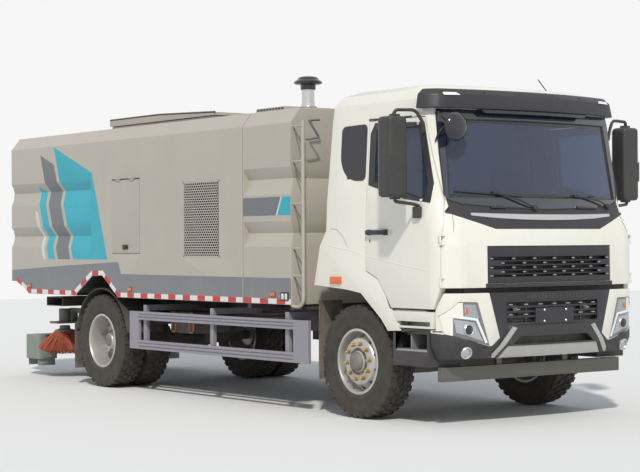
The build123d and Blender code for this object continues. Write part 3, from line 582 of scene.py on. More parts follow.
def noiseNode(tree, point, scale, detail, roughness=0.5):
    return addNode(tree, "ShaderNodeTexNoise", {"Vector": point, "Scale": scale, "Detail": detail,
                                                "Roughness": roughness}).outputs[0]


def rangeNode(tree, value, low, high, toLow=0.0, toHigh=1.0):
    return addNode(tree, "ShaderNodeMapRange", {
        "Value": value, "From Min": low, "From Max": high, "To Min": toLow,
        "To Max": toHigh}).outputs[0]


# Soft uneven tone, two sizes of cloud added together
def makeToneGroup():
    tree, entry, leave, point = newShaderGroup("unevenTone", {"Scale": 3.0, "Fine": 40.0,
                                                              "Amount": 0.1})
    broad = noiseNode(tree, point, entry["Scale"], 4.0, 0.55)
    fine = noiseNode(tree, point, entry["Fine"], 2.0, 0.6)
    both = mathNode(tree, "MULTIPLY_ADD", fine, 0.4, broad)
    mask = mathNode(tree, "MULTIPLY", rangeNode(tree, both, 0.45, 0.95), entry["Amount"])
    tree.links.new(mask, leave[0])
    return tree


# Road dust: thick near the ground, broken up by noise, gone above a height
def makeDustGroup():
    tree, entry, leave, point = newShaderGroup("roadDust", {"Low": 0.1, "High": 1.1,
                                                            "Breakup": 6.0, "Amount": 0.5})
    height = addNode(tree, "ShaderNodeSeparateXYZ", {0: point}).outputs["Z"]
    cloud = noiseNode(tree, point, entry["Breakup"], 5.0, 0.62)
    fade = rangeNode(tree, height, entry["High"], entry["Low"])
    clumps = rangeNode(tree, cloud, 0.35, 0.65, 0.35)
    mask = mathNode(tree, "MULTIPLY", mathNode(tree, "MULTIPLY", fade, clumps), entry["Amount"])
    tree.links.new(mask, leave[0])
    return tree


# Narrow runs of rain dirt down upright faces
def makeStreakGroup():
    tree, entry, leave, point = newShaderGroup("rainRuns", {"Scale": 9.0, "Amount": 0.2})
    stretched = addNode(tree, "ShaderNodeMapping", {"Vector": point, "Scale": (1.0, 1.0, 0.07)})
    runs = noiseNode(tree, stretched.outputs[0], entry["Scale"], 4.0, 0.7)
    mask = mathNode(tree, "MULTIPLY", rangeNode(tree, runs, 0.5, 0.72), entry["Amount"])
    tree.links.new(mask, leave[0])
    return tree


# Fine surface relief: orange peel in paint, grain in moulded plastic and rubber
def makeGrainGroup():
    tree, entry, leave, point = newShaderGroup("surfaceGrain", {"Scale": 200.0, "Pebble": 0.0},
                                               "Height")
    soft = noiseNode(tree, point, entry["Scale"], 2.0)
    cells = addNode(tree, "ShaderNodeTexVoronoi", {"Vector": point, "Scale": entry["Scale"]})
    mixed = addNode(tree, "ShaderNodeMix", {"Factor": entry["Pebble"], 2: soft,
                                            3: cells.outputs["Distance"]})
    tree.links.new(mixed.outputs[0], leave[0])
    return tree


# Mask of everything below a height and nearer to the middle than a half width
def makeInsideGroup():
    tree, entry, leave, point = newShaderGroup("insideBelow", {"Half width": 1.2, "Height": 1.2})
    parts = addNode(tree, "ShaderNodeSeparateXYZ", {0: point}).outputs
    inside = mathNode(tree, "LESS_THAN", mathNode(tree, "ABSOLUTE", parts["Y"]),
                      entry["Half width"])
    below = mathNode(tree, "LESS_THAN", parts["Z"], entry["Height"])
    tree.links.new(mathNode(tree, "MULTIPLY", inside, below), leave[0])
    return tree


insideGroup = makeInsideGroup()
toneGroup = makeToneGroup()
dustGroup = makeDustGroup()
streakGroup = makeStreakGroup()
grainGroup = makeGrainGroup()
dustColour = (0.36, 0.30, 0.23, 1)


# A shared group in a material; its values come in the order of its inputs
def placeGroup(tree, group, *values):
    node = tree.nodes.new("ShaderNodeGroup")
    node.node_tree = group
    for socket, value in zip(node.inputs, values):
        socket.default_value = value
    return node.outputs[0]


def mixColour(tree, mask, under, over):
    return addNode(tree, "ShaderNodeMix", {"Factor": mask, 6: under, 7: over},
                   data_type="RGBA").outputs[2]


def startMaterial(name):
    material = bpy.data.materials.new(name)
    material.use_nodes = True
    tree = material.node_tree
    shader = next(n for n in tree.nodes if n.type == "BSDF_PRINCIPLED")
    return material, tree, shader.inputs


# One surface made of a colour, an uneven second tone, road dust, rain runs and fine relief
def makeSurface(name, colour, second, rough, metal=0.0, coat=0.0, tone=(2.5, 45.0, 0.5),
                dust=(0.2, 1.0, 7.0, 0.1), runs=(9.0, 0.0), grain=(260.0, 0.0, 0.05, 0.0004),
                under=None):
    material, tree, shader = startMaterial(name)
    shader["Metallic"].default_value = metal
    shader["Coat Weight"].default_value = coat
    shader["Coat Roughness"].default_value = 0.08
    dustMask = placeGroup(tree, dustGroup, *dust)
    base = mixColour(tree, placeGroup(tree, toneGroup, *tone), (*colour, 1), (*second, 1))
    if runs[1] > 0:
        base = mixColour(tree, placeGroup(tree, streakGroup, *runs), base, dustColour)
    base = mixColour(tree, dustMask, base, dustColour)
    # Where asked, a darker colour below a height and inside a half width; on the hopper this is
    # painted shade under the body and inside the wheel arches.
    if under is not None:
        half, height, belowColour = under
        base = mixColour(tree, placeGroup(tree, insideGroup, half, height), base, (*belowColour, 1))
    tree.links.new(base, shader["Base Color"])
    tree.links.new(rangeNode(tree, dustMask, 0.0, 1.0, rough, 0.85), shader["Roughness"])
    bump = addNode(tree, "ShaderNodeBump", {"Strength": grain[2], "Distance": grain[3],
                                            "Height": placeGroup(tree, grainGroup, *grain[:2])})
    tree.links.new(bump.outputs[0], shader["Normal"])
    return material


def makeGlass(name, colour, transmission):
    material, tree, shader = startMaterial(name)
    shader["Transmission Weight"].default_value = transmission
    shader["IOR"].default_value = 1.45
    lighter = tuple(min(1.0, c * 1.25 + 0.02) for c in colour)
    tone = placeGroup(tree, toneGroup, 1.2, 25.0, 0.25)
    tree.links.new(mixColour(tree, tone, (*colour, 1), (*lighter, 1)), shader["Base Color"])
    film = placeGroup(tree, dustGroup, 1.4, 2.9, 9.0, 0.03)
    tree.links.new(rangeNode(tree, film, 0.0, 1.0, 0.02, 0.5), shader["Roughness"])
    return material


# The painted part of the headlamp block lies outside two stepped lens outlines
def makeLampBody(name, lensSteps, lens, paint):
    material, tree, shader = startMaterial(name)
    masks = [placeGroup(tree, insideGroup, *step) for step in lensSteps]
    both = mathNode(tree, "MAXIMUM", *masks)
    tone = placeGroup(tree, toneGroup, 9.0, 60.0, 0.4)
    lensTone = mixColour(tree, tone, (*lens, 1), (*(c * 1.5 for c in lens), 1))
    tree.links.new(mixColour(tree, both, (*paint, 1), lensTone), shader["Base Color"])
    tree.links.new(mathNode(tree, "MULTIPLY", both, 0.7), shader["Metallic"])
    tree.links.new(rangeNode(tree, both, 0.0, 1.0, 0.3, 0.17), shader["Roughness"])
    shader["Coat Weight"].default_value = 0.5
    return material

# Colours are linear values: slot, colour, second colour, roughness, and what is special
finishes = {
    "bodyBeige": ("body_beige", (0.45, 0.415, 0.355), (0.4, 0.37, 0.32), 0.42,
                  dict(coat=0.15, dust=(0.9, 1.5, 5.0, 0.12), runs=(7.0, 0.1))),
    # The hopper paint carries painted shade: below 1.29 m and inside the side faces, the underside
    # and the insides of the wheel arches are coloured near black, where shade falls.
    "hopperPaint": ("body_beige", (0.45, 0.415, 0.355), (0.4, 0.37, 0.32), 0.42,
                    dict(coat=0.15, dust=(0.9, 1.5, 5.0, 0.12), runs=(7.0, 0.1),
                         under=(1.242, 1.29, (0.02, 0.02, 0.021)))),
    "bandGrey": ("body_beige", (0.165, 0.18, 0.2), (0.2, 0.21, 0.225), 0.45,
                 dict(coat=0.1, dust=(0.9, 1.35, 6.0, 0.25), runs=(8.0, 0.12))),
    "cabIvory": ("cab_ivory", (0.8, 0.79, 0.7), (0.76, 0.75, 0.66), 0.3,
                 dict(coat=0.45, dust=(0.6, 1.25, 6.0, 0.22), runs=(10.0, 0.04))),
    "blackPlastic": ("black_plastic", (0.022, 0.022, 0.026), (0.04, 0.04, 0.045), 0.48,
                     dict(dust=(0.2, 1.0, 7.0, 0.16), grain=(900.0, 1.0, 0.18, 0.0004))),
    "glossBlack": ("black_plastic", (0.012, 0.012, 0.014), (0.02, 0.02, 0.024), 0.16,
                   dict(coat=0.5, dust=(0.2, 1.0, 7.0, 0.08))),
    "frameBlack": ("frame_black", (0.03, 0.03, 0.033), (0.055, 0.05, 0.045), 0.55,
                   dict(dust=(0.2, 1.3, 5.0, 0.5))),
    "axleGrey": ("axle_grey", (0.07, 0.07, 0.07), (0.12, 0.11, 0.1), 0.65,
                 dict(dust=(0.1, 1.2, 5.0, 0.6), grain=(120.0, 0.0, 0.3, 0.001))),
    "guardGrey": ("guard_grey", (0.25, 0.245, 0.3), (0.29, 0.285, 0.33), 0.42,
                  dict(dust=(0.4, 1.0, 6.0, 0.25), runs=(9.0, 0.08))),
    "rubber": ("flap_rubber", (0.03, 0.029, 0.028), (0.055, 0.05, 0.045), 0.8,
               dict(dust=(0.1, 1.1, 6.0, 0.55), grain=(300.0, 0.0, 0.2, 0.0006))),
    "tyreRubber": ("tyre", (0.02, 0.019, 0.018), (0.045, 0.04, 0.034), 0.8,
                   dict(tone=(5.0, 60.0, 0.6), dust=(-0.2, 1.6, 9.0, 0.16),
                        grain=(400.0, 0.0, 0.25, 0.0006))),
    "flapDusty": ("flap_rubber", (0.045, 0.04, 0.034), (0.16, 0.135, 0.1), 0.85,
                  dict(tone=(5.0, 40.0, 1.0), dust=(0.1, 1.5, 11.0, 0.55), runs=(14.0, 0.4))),
    "rimSilver": ("rim_silver", (0.58, 0.57, 0.55), (0.42, 0.41, 0.38), 0.36,
                  dict(metal=0.6, tone=(6.0, 60.0, 0.6), dust=(-0.4, 1.6, 9.0, 0.3))),
    "castGrey": ("engine_grey", (0.16, 0.16, 0.16), (0.22, 0.21, 0.2), 0.6,
                 dict(metal=0.3, dust=(0.2, 1.2, 6.0, 0.35), grain=(140.0, 0.0, 0.3, 0.001))),
    "brightSteel": ("bright_bar", (0.62, 0.62, 0.62), (0.5, 0.5, 0.5), 0.32, dict(metal=0.9)),
    "dullSteel": ("steel_bare", (0.33, 0.33, 0.34), (0.42, 0.41, 0.4), 0.5,
                  dict(metal=0.55, dust=(0.2, 0.9, 7.0, 0.25))),
    "nutGold": ("steel_bare", (0.55, 0.4, 0.14), (0.42, 0.3, 0.12), 0.38,
                dict(metal=0.85, tone=(9.0, 60.0, 0.5), dust=(-0.4, 1.6, 9.0, 0.2))),
    "nozzleGreen": ("nozzle_green", (0.23, 0.29, 0.26), (0.17, 0.2, 0.18), 0.55,
                    dict(tone=(4.0, 40.0, 0.8), dust=(0.1, 0.7, 8.0, 0.4), runs=(12.0, 0.2))),
    "pumpOrange": ("pump_orange", (0.55, 0.14, 0.03), (0.4, 0.12, 0.04), 0.5,
                   dict(dust=(0.4, 1.1, 8.0, 0.4))),
    "tankMetal": ("tank_metal", (0.45, 0.46, 0.48), (0.36, 0.36, 0.38), 0.35,
                  dict(metal=0.8, dust=(0.3, 1.1, 6.0, 0.3))),
    "seatCloth": ("trim_dark", (0.05, 0.055, 0.07), (0.09, 0.09, 0.11), 0.9,
                  dict(dust=(0, 0.1, 5.0, 0.0), grain=(700.0, 1.0, 0.6, 0.0008))),
    "trimGrey": ("black_plastic", (0.16, 0.16, 0.17), (0.2, 0.2, 0.21), 0.6,
                 dict(dust=(0, 0.1, 5.0, 0.0), grain=(900.0, 1.0, 0.2, 0.0004))),
    "bristleRed": ("bristle", (0.5, 0.085, 0.035), (0.34, 0.1, 0.06), 0.7,
                   dict(tone=(14.0, 90.0, 0.8), dust=(0.1, 0.6, 12.0, 0.35))),
    "teal": ("body_beige", (0.0, 0.38, 0.48), (0.01, 0.33, 0.42), 0.38,
             dict(coat=0.15, dust=(0.9, 1.6, 6.0, 0.1), runs=(9.0, 0.06))),
    "decalGrey": ("body_beige", (0.135, 0.145, 0.16), (0.16, 0.17, 0.18), 0.4,
                  dict(coat=0.1, dust=(0.9, 1.6, 6.0, 0.1), runs=(9.0, 0.06))),
    "decalPale": ("body_beige", (0.62, 0.64, 0.64), (0.55, 0.57, 0.57), 0.4,
                  dict(dust=(0.9, 1.6, 6.0, 0.1))),
    "stripeRed": ("lamp_red", (0.55, 0.02, 0.02), (0.45, 0.025, 0.025), 0.3,
                  dict(dust=(0.8, 1.3, 8.0, 0.12))),
    "stripeWhite": ("cab_ivory", (0.75, 0.75, 0.73), (0.66, 0.66, 0.64), 0.3,
                    dict(dust=(0.8, 1.3, 8.0, 0.14))),
    "lampAmber": ("lamp_red", (0.75, 0.13, 0.01), (0.62, 0.1, 0.01), 0.15,
                  dict(coat=0.6, dust=(0.6, 1.3, 8.0, 0.08))),
    "lampRed": ("lamp_red", (0.45, 0.01, 0.01), (0.38, 0.01, 0.01), 0.15,
                dict(coat=0.6, dust=(0.6, 1.3, 8.0, 0.1))),
    # Near-black used as painted shade behind the vent holes
    "ventBlack": ("frame_black", (0.006, 0.006, 0.007), (0.01, 0.01, 0.01), 0.95,
                  dict(dust=(0, 0.1, 5.0, 0.0))),
    "paneBlack": ("glass", (0.02, 0.02, 0.028), (0.03, 0.03, 0.04), 0.38,
                  dict(dust=(1.4, 2.2, 9.0, 0.03))),
    "skidSilver": ("bright_bar", (0.5, 0.5, 0.49), (0.4, 0.4, 0.39), 0.38,
                   dict(metal=0.6, dust=(0.3, 0.8, 8.0, 0.15))),
    "mirrorBlack": ("black_plastic", (0.035, 0.034, 0.034), (0.06, 0.058, 0.055), 0.5,
                    dict(grain=(900.0, 1.0, 0.18, 0.0004))),
    "mirrorSilver": ("bright_bar", (0.8, 0.82, 0.85), (0.76, 0.78, 0.81), 0.05,
                     dict(metal=0.95, dust=(0.2, 1.0, 7.0, 0.03))),
    "screenEdge": ("glass", (0.018, 0.024, 0.042), (0.03, 0.038, 0.06), 0.06,
                   dict(coat=1.0, dust=(1.4, 2.2, 9.0, 0.05))),
    "barOlive": ("bright_bar", (0.5, 0.5, 0.49), (0.4, 0.4, 0.39), 0.4,
                 dict(metal=0.55, dust=(0.2, 0.8, 7.0, 0.2),
                      under=(2.0, 0.56, (0.15, 0.148, 0.13)))),
    "lampGlow": ("lamp_clear", (0.86, 0.88, 0.9), (0.78, 0.8, 0.83), 0.12,
                 dict(coat=0.6, dust=(0.4, 1.1, 8.0, 0.06))),
    "lampChrome": ("bright_bar", (0.55, 0.57, 0.6), (0.42, 0.44, 0.47), 0.14,
                   dict(metal=0.9, dust=(0.4, 1.1, 8.0, 0.06))),
    "lampClear": ("lamp_clear", (0.42, 0.45, 0.48), (0.3, 0.32, 0.35), 0.1,
                  dict(metal=0.5, coat=0.6, dust=(0.4, 1.1, 8.0, 0.06))),
}
finishSlots = {name: row[0] for name, row in finishes.items()}
finishSlots.update(windscreenGlass="glass", sideGlass="glass", lampBody="lamp_clear")
materials = {name: makeSurface(name, *row[1:4], **row[4]) for name, row in finishes.items()}
materials["lampBody"] = makeLampBody("lampBody", ((1.068, 0.942), (0.99, 1.2)),
                                     (0.20, 0.205, 0.215), (0.80, 0.79, 0.70))
for glass, colour, transmission in (("windscreenGlass", (0.20, 0.26, 0.40), 0.85),
                                    ("sideGlass", (0.15, 0.20, 0.31), 0.8)):
    materials[glass] = makeGlass(glass, colour, transmission)
print("materials ready:", len(materials))


# Stage: camera, floor and light

cameraSettings = {
    "place": (14.822, -10.579, 1.581), "heading": 143.339, "pitch": 0.223, "roll": -0.335,
    "lens": 96.22, "sensor": 36.0, "clipEnd": 200,
}


def placeCamera(values):
    camera = bpy.data.cameras.new("ViewCamera")
    camera.lens = values["lens"]
    camera.sensor_width = values["sensor"]
    camera.clip_end = values["clipEnd"]
    obj = newObject("ViewCamera", camera)
    turn = Matrix.Translation(values["place"])
    for degrees, axis in ((values["heading"] - 90, "Z"), (90 + values["pitch"], "X"),
                          (values["roll"], "Z")):
        turn = turn @ Matrix.Rotation(math.radians(degrees), 4, axis)
    obj.matrix_world = turn
    bpy.context.scene.camera = obj


stageSettings = {
    "floorColour": (0.80, 0.80, 0.79, 1), "floorSize": 60.0, "floorTone": (0.4, 6.0, 0.12),
    "floorRough": 0.85, "seenWhite": 0.93, "skyColour": (0.80, 0.86, 0.95, 1),
    "skyStrength": 0.56, "sunColour": (1.0, 0.96, 0.90), "sunStrength": 2.45, "sunAngle": 3.0,
    "sunTurn": (0, math.radians(46), math.radians(-38)),
}


# The floor shows nearly white to the camera, but lights the object as a plain pale floor
def placeStage(values):
    half = values["floorSize"] / 2
    floor = meshObject("Floor", [(-half, -half, 0), (half, -half, 0), (half, half, 0),
                                 (-half, half, 0)], [(0, 1, 2, 3)])
    material, tree, shader = startMaterial("paleFloor")
    tone = placeGroup(tree, toneGroup, *values["floorTone"])
    darker = tuple(c * 0.93 for c in values["floorColour"][:3])
    tree.links.new(mixColour(tree, tone, values["floorColour"], (*darker, 1)),
                   shader["Base Color"])
    shader["Roughness"].default_value = values["floorRough"]
    floor.data.materials.append(material)

    scene = bpy.context.scene
    scene.world = scene.world or bpy.data.worlds.new("World")
    scene.world.use_nodes = True
    tree = scene.world.node_tree
    tree.nodes.clear()
    light, seen = (addNode(tree, "ShaderNodeBackground", {"Color": colour, "Strength": strength})
                   for colour, strength in ((values["skyColour"], values["skyStrength"]),
                                            ((*[values["seenWhite"]] * 3, 1), 1.0)))
    path = addNode(tree, "ShaderNodeLightPath").outputs
    shiny = mathNode(tree, "ADD", path["Is Camera Ray"], path["Is Glossy Ray"])
    direct = mathNode(tree, "ADD", shiny, path["Is Transmission Ray"], use_clamp=True)
    mix = addNode(tree, "ShaderNodeMixShader", {0: direct, 1: light.outputs[0],
                                                2: seen.outputs[0]})
    addNode(tree, "ShaderNodeOutputWorld", {"Surface": mix.outputs[0]})

    sun = bpy.data.lights.new("KeySun", "SUN")
    sun.energy = values["sunStrength"]
    sun.angle = math.radians(values["sunAngle"])
    sun.color = values["sunColour"]
    newObject("KeySun", sun).rotation_euler = Euler(values["sunTurn"])
    scene.view_settings.view_transform = "Standard"


placeCamera(cameraSettings)
placeStage(stageSettings)
print("camera and stage placed")


# Nodes that keep their own shape get only a finish
keptNodes = {
    "chassis_frame": "frameBlack", "front_axle": "axleGrey", "rear_axle": "axleGrey",
    "engine_block": "castGrey", "auxiliary_engine": "castGrey", "fuel_tank": "tankMetal",
    "knuckle_left": "axleGrey", "knuckle_right": "axleGrey", "tip_barrel": "frameBlack",
    "tip_rod": "brightSteel", "cab_glass": "windscreenGlass", "door_glass_left": "sideGlass",
    "door_glass_right": "sideGlass",
}
for node, finish in keptNodes.items():
    nodes[node].data.materials.clear()
    nodes[node].data.materials.append(materials[finish])

bodyOf = {node: body for body, members in frame["record"]["behaviour"]["bodies"].items()
          for node in members}

# Nodes shown as softened copies, by finish and edge radius. A piece has its node's name.
softenedNodes = (
    ("hopperPaint", 0.006, "hopper_shell"),
    ("bodyBeige", 0.006, "front_compartment", "rear_door"), ("bodyBeige", 0.005, "roof_hatch_lid"),
    ("bodyBeige", 0.003, "side_hatch_left", "side_hatch_right"),
    ("lampRed", 0.004, "rear_lamps"), ("cabIvory", 0.003, "cab_shell", "door_left", "door_right"),
    ("blackPlastic", 0.003, "grille"), ("blackPlastic", 0.006, "roof_visor", "steps"),
    ("seatCloth", 0.02, "seats"), ("trimGrey", 0.006, "dashboard"),
    ("blackPlastic", 0.004, "front_bumper"), ("cabIvory", 0.004, "bumper_corners"),
    ("lampBody", 0.004, "headlamps"), ("barOlive", 0.004, "guard_bars"),
    ("cabIvory", 0.006, "step_sills"), ("guardGrey", 0.003, "side_guards"),
    ("frameBlack", 0.006, "pump_unit"), ("rubber", 0.002, "rear_mudguards"),
    ("rimSilver", 0.001, "rim_front_left", "rim_front_right", "rims_rear_left",
     "rims_rear_right"),
    ("castGrey", 0.003, "brush_arm_left", "brush_arm_right"), ("nozzleGreen", 0.004, "nozzle_box"),
)
pieceNames = {"grille": "UpperGrille", "roof_visor": "SunVisor", "seats": "CabSeats",
              "steps": "CabSteps"}

# The back of the cab stands nearly upright and its roof is a little higher than its plain form.
# Rows hold a height, the shift along X and the shift up.
cabBack = ((1.00, -0.036, 0.0), (1.172, -0.036, 0.0), (1.55, -0.016, 0.0), (1.69, -0.055, 0.0),
           (1.94, -0.080, 0.0), (2.66, -0.138, 0.0), (2.81, -0.150, 0.010), (2.88, -0.165, 0.028),
           (2.915, -0.12, 0.036))
cabRearEdge = ((1.0, 2.124), (1.172, 2.124), (1.55, 2.2), (1.69, 2.335), (1.94, 2.365),
               (2.66, 2.46), (2.81, 2.478), (2.88, 2.54), (2.915, 2.64))
visorRise = 0.04


def shapeCab(place):
    if place.z > 1.0 and place.x < valueAt(cabRearEdge, place.z) + 0.06:
        place.x += valueAt(cabBack, place.z)
    place.z += valueAt(cabBack, place.z, 2)


def raiseVisor(place):
    place.z += visorRise
    place.y *= 0.974


def narrowLamps(place):
    place.y *= 0.962


def squareLid(place):
    if place.x < -2.3 and place.z > 2.95:
        place.z = 3.006


shapeChanges = {"cab_shell": shapeCab, "roof_visor": raiseVisor, "roof_hatch_lid": squareLid,
                "rear_lamps": narrowLamps}
crispNodes = {"hopper_shell", "front_compartment", "roof_hatch_lid", "side_hatch_left",
              "side_hatch_right", "rear_door", "side_guards"}
for finish, width, *members in softenedNodes:
    for node in members:
        name = pieceNames.get(node, node.title().replace("_", ""))
        piece = softenedCopy(node, name, width, 10 if node in crispNodes else 34)
        if node in shapeChanges:
            for vert in piece.data.vertices:
                shapeChanges[node](vert.co)
        addPiece(piece, bodyOf[node], finish, node)
print("softened pieces placed")


# Surfaces that trim and paint are laid on
hopperSkin = surfaceOf("hopper_shell")
compartmentSkin = surfaceOf("front_compartment")
bodySkins = {"hopper": hopperSkin, "chassis": compartmentSkin}
cabSkin = surfaceOf("cab_shell")
screenSkin = surfaceOf("cab_shell", "cab_glass")
bumperSkin = surfaceOf("front_bumper", "bumper_corners", "guard_bars")
lampSkin = surfaceOf("headlamps")

# The cab's outer form without its openings. Each row holds a height, the half width, where the
# corner starts (x), where it ends (x, y) and the nose.
cabForm = (
    (1.0, 1.175, 3.720, 3.970, 0.925, 4.050), (1.172, 1.175, 3.720, 3.970, 0.925, 4.050),
    (1.55, 1.175, 3.720, 3.965, 0.925, 4.045), (1.69, 1.172, 3.700, 3.930, 0.950, 4.015),
    (1.94, 1.165, 3.600, 3.790, 1.045, 3.925), (2.66, 1.120, 3.500, 3.680, 1.010, 3.800),
    (2.81, 1.100, 3.480, 3.650, 1.000, 3.765),
)


# A surface through lines that each have the same number of points
def surfaceThrough(lines):
    width = len(lines[0])
    faces = [(a, a + 1, a + width + 1, a + width) for row in range(len(lines) - 1)
             for a in range(row * width, row * width + width - 1)]
    return BVHTree.FromPolygons([Vector(place) for line in lines for place in line], faces)


def formSurface(rows, steps=8):
    lines = []
    for z, half, startX, endX, endY, nose in rows:
        line = [(startX - 1.7, half)]
        for i in range(steps + 1):
            t = 1 - i / steps
            line.append((startX + (endX - startX) * math.sqrt(1 - t * t), endY + t * (half - endY)))
        for i in range(1, steps + 1):
            share = 1 - i / steps
            line.append((nose - (nose - endX) * share * share, endY * share))
        line += [(x, -y) for x, y in reversed(line[:-1])]
        lines.append([(x, y, z) for x, y in line])
    return surfaceThrough(lines)


cabFormSkin = formSurface(cabForm)


# Lower grey band and the red and white edge stripe
bandSettings = {
    "band": (0.0008, 0.002, 0.3), "stripe": (0.0017, 0.002, 0.5),  # lift, thickness, cell
    "stripeWidth": 0.05, "blockLength": 0.14,
    "parts": (  # name, body, lower line, upper line, where in the lower line the stripe starts
        ("Hopper", "hopper",
         ((-3.928, 1.145), (-3.813, 1.145), (-3.514, 1.021), (-3.5, 1.004), (-2.330, 1.004),
          (-2.3255, 1.028), (-1.966, 1.2295), (-1.739, 1.2375), (-1.397, 1.004), (1.022, 1.004)),
         ((-3.928, 1.273), (-2.713, 1.331), (-1.387, 1.384), (-1.324, 1.254), (1.022, 1.25)), 1),
        ("Compartment", "chassis", ((1.038, 1.004), (1.827, 1.004)),
         ((1.038, 1.25), (1.827, 1.25)), 0),
    ),
}


def addBands(values):
    for name, body, lower, upper, first in values["parts"]:
        runs = cutPath(lower[first:], values["blockLength"])
        for side, view, turn in sides:
            addDraped(name + "Band" + side, betweenLines(lower, upper), view, bodySkins[body],
                      body, "bandGrey", *values["band"])
            for start, colour in enumerate(("Red", "White")):
                blocks = [face for run in runs[start::2]
                          for face in stripFaces(run, values["stripeWidth"])]
                addDraped(name + "Stripe" + colour + side, blocks, view, bodySkins[body], body,
                          "stripe" + colour, *values["stripe"])


addBands(bandSettings)

# Leaning bars of colour on the hopper sides, and the short band beside them
liverySettings = {
    "lean": -0.35, "slant": 0.42, "sheet": (0.0012, 0.002, 0.5),
    "folds": (2.295, 2.19, 2.04, 1.785, 1.675, 1.545), "steps": (-1.9815, -1.9785),
    "bars": (  # finish, rear x, front x, low z, high z
        ("teal", -2.40, -1.62, 1.41, 2.70), ("decalGrey", -2.76, -2.47, 1.41, 2.62),
        ("teal", -2.99, -2.83, 1.41, 2.26), ("decalPale", -3.12, -3.06, 1.41, 1.98),
    ),
    "frontBars": (  # finish, outline
        ("decalGrey", ((1.04, 1.842), (1.585, 1.842), (1.665, 2.016), (1.04, 2.016))),
        ("decalPale", ((1.592, 1.842), (1.610, 1.842), (1.690, 2.016), (1.672, 2.016))),
        ("teal", ((1.617, 1.842), (1.828, 1.842), (1.828, 2.016), (1.697, 2.016))),
    ),
}


def addLivery(values):
    for side, view, turn in sides:
        for number, (finish, rear, front, low, high) in enumerate(values["bars"]):
            frontHigh = high - values["slant"] * (front - rear)
            outline = ((rear, low), (front, low),
                       (front + values["lean"] * (frontHigh - low), frontHigh),
                       (rear + values["lean"] * (high - low), high))
            addDraped(f"LiveryBar{number}{side}", [outline], view, hopperSkin, "hopper", finish,
                      *values["sheet"], values["folds"], values["steps"])
        for number, (finish, outline) in enumerate(values["frontBars"]):
            addDraped(f"FrontBar{number}{side}", [outline], view, compartmentSkin, "chassis",
                      finish, *values["sheet"])


addLivery(liverySettings)

# Perforated vent sheet in a frame, with a near-black sheet behind it that paints the shade seen
# through the holes
ventSettings = {
    "x": (-0.06, 0.62), "z": (1.44, 2.21), "columns": 18, "rows": 29, "step": (0.036, 0.0257),
    "hole": (0.0155, 0.0108), "corners": 8, "faceY": 1.2498, "sheet": 0.003, "frame": 0.016,
    "frameY": (1.2418, 1.25), "backY": (1.228, 1.236),
}


# One hole of the sheet; its outline runs past its corners, so that the tiles meet
def makeVentTile(values):
    width, height = values["step"]
    holeX, holeZ = values["hole"]
    corners = values["corners"]
    spots = [(math.cos(turn), math.sin(turn))
             for turn in (2 * math.pi * (i + 0.5) / corners for i in range(corners))]
    bm = bmesh.new()
    front, back = ([bm.verts.new((holeX * c, depth, holeZ * s)) for c, s in spots]
                   for depth in (0.0, values["sheet"]))
    edge = []
    for c, s in spots:
        x = width / 2 * c / max(abs(c), abs(s))
        if abs(x) > width * 0.3:
            x = math.copysign(width / 2, x)
        edge.append(bm.verts.new((x, 0, math.copysign(height / 2, s))))
    for i in range(corners):
        j = (i + 1) % corners
        bm.faces.new((front[i], front[j], edge[j], edge[i]))
        bm.faces.new((front[i], back[i], back[j], front[j]))
    return bmeshObject("ventTile", bm)


def addVents(values):
    tile = makeVentTile(values)
    (width, height), border = values["step"], values["frame"]
    (x0, x1), (z0, z1) = values["x"], values["z"]
    sheets = []
    for side, view, turn in sides:
        def onFace(name, x, y, z, radius):
            low, high = sorted(turn * part for part in values[y])
            return roundedBox(name, (x[0], low, z[0]), (x[1], high, z[1]), radius, 1)

        sheet = growMesh("ventSheet", gridTree, "bodyBeige", part=tile,
                         columns=values["columns"], rows=values["rows"],
                         columnStep=(width, 0, 0), rowStep=(0, 0, height),
                         stagger=(width / 2, 0, 0))
        sheet.data.transform(Matrix.Translation((x0 + width * 0.75, -values["faceY"],
                                                 z0 + height * 0.8)))
        if turn > 0:
            flipMesh(sheet.data)
        sheets.append(sheet)
        for x, z in (((x0, x1), (z0, z0 + border)), ((x0, x1), (z1 - border, z1)),
                     ((x0, x0 + border), (z0, z1)), ((x1 - border, x1), (z0, z1))):
            sheets.append(onFace("ventBorder", x, "frameY", z, 0.0015))
        # Painted shade: a dead black sheet just behind the holes stands in for the shade inside the
        # body.
        backing = onFace("VentBacking" + side, (x0 + border, x1 - border), "backY",
                         (z0 + border, z1 - border), 0.001)
        addPiece(backing, "hopper", "ventBlack")
    dropObjects(tile)
    addJoined("VentSheets", sheets, "hopper", "bodyBeige", "vent_panels")


addVents(ventSettings)
print("body paint and vents placed")

# Latches, side lamps and small markers of the body. Sizes are depth, width and height.
fittingSettings = {
    "latch": (-1.22, 1.545),
    "latchParts": (((0.012, 0.11, 0.05), 0.004, 0.002),  # size, radius, sink
                   ((0.02, 0.06, 0.022), 0.005, -0.006)),
    "lamps": ((-3.46, 1.092, "hopper"), (-1.13, 1.092, "hopper"), (1.54, 1.092, "chassis")),
    "lampParts": (("SideLamp", (0.016, 0.07, 0.04), "lampAmber", 0.006),
                  ("SideLampBase", (0.005, 0.082, 0.05), "blackPlastic", 0.002)),
    "sockets": (  # name, spot, size, finish, radius
        ("SocketBox", (1.733, 1.077), (0.012, 0.125, 0.08), "blackPlastic", 0.004),
        ("SocketPlate0", (1.705, 1.077), (0.014, 0.038, 0.055), "stripeWhite", 0.003),
        ("SocketPlate1", (1.761, 1.077), (0.014, 0.038, 0.055), "stripeWhite", 0.003),
    ),
}


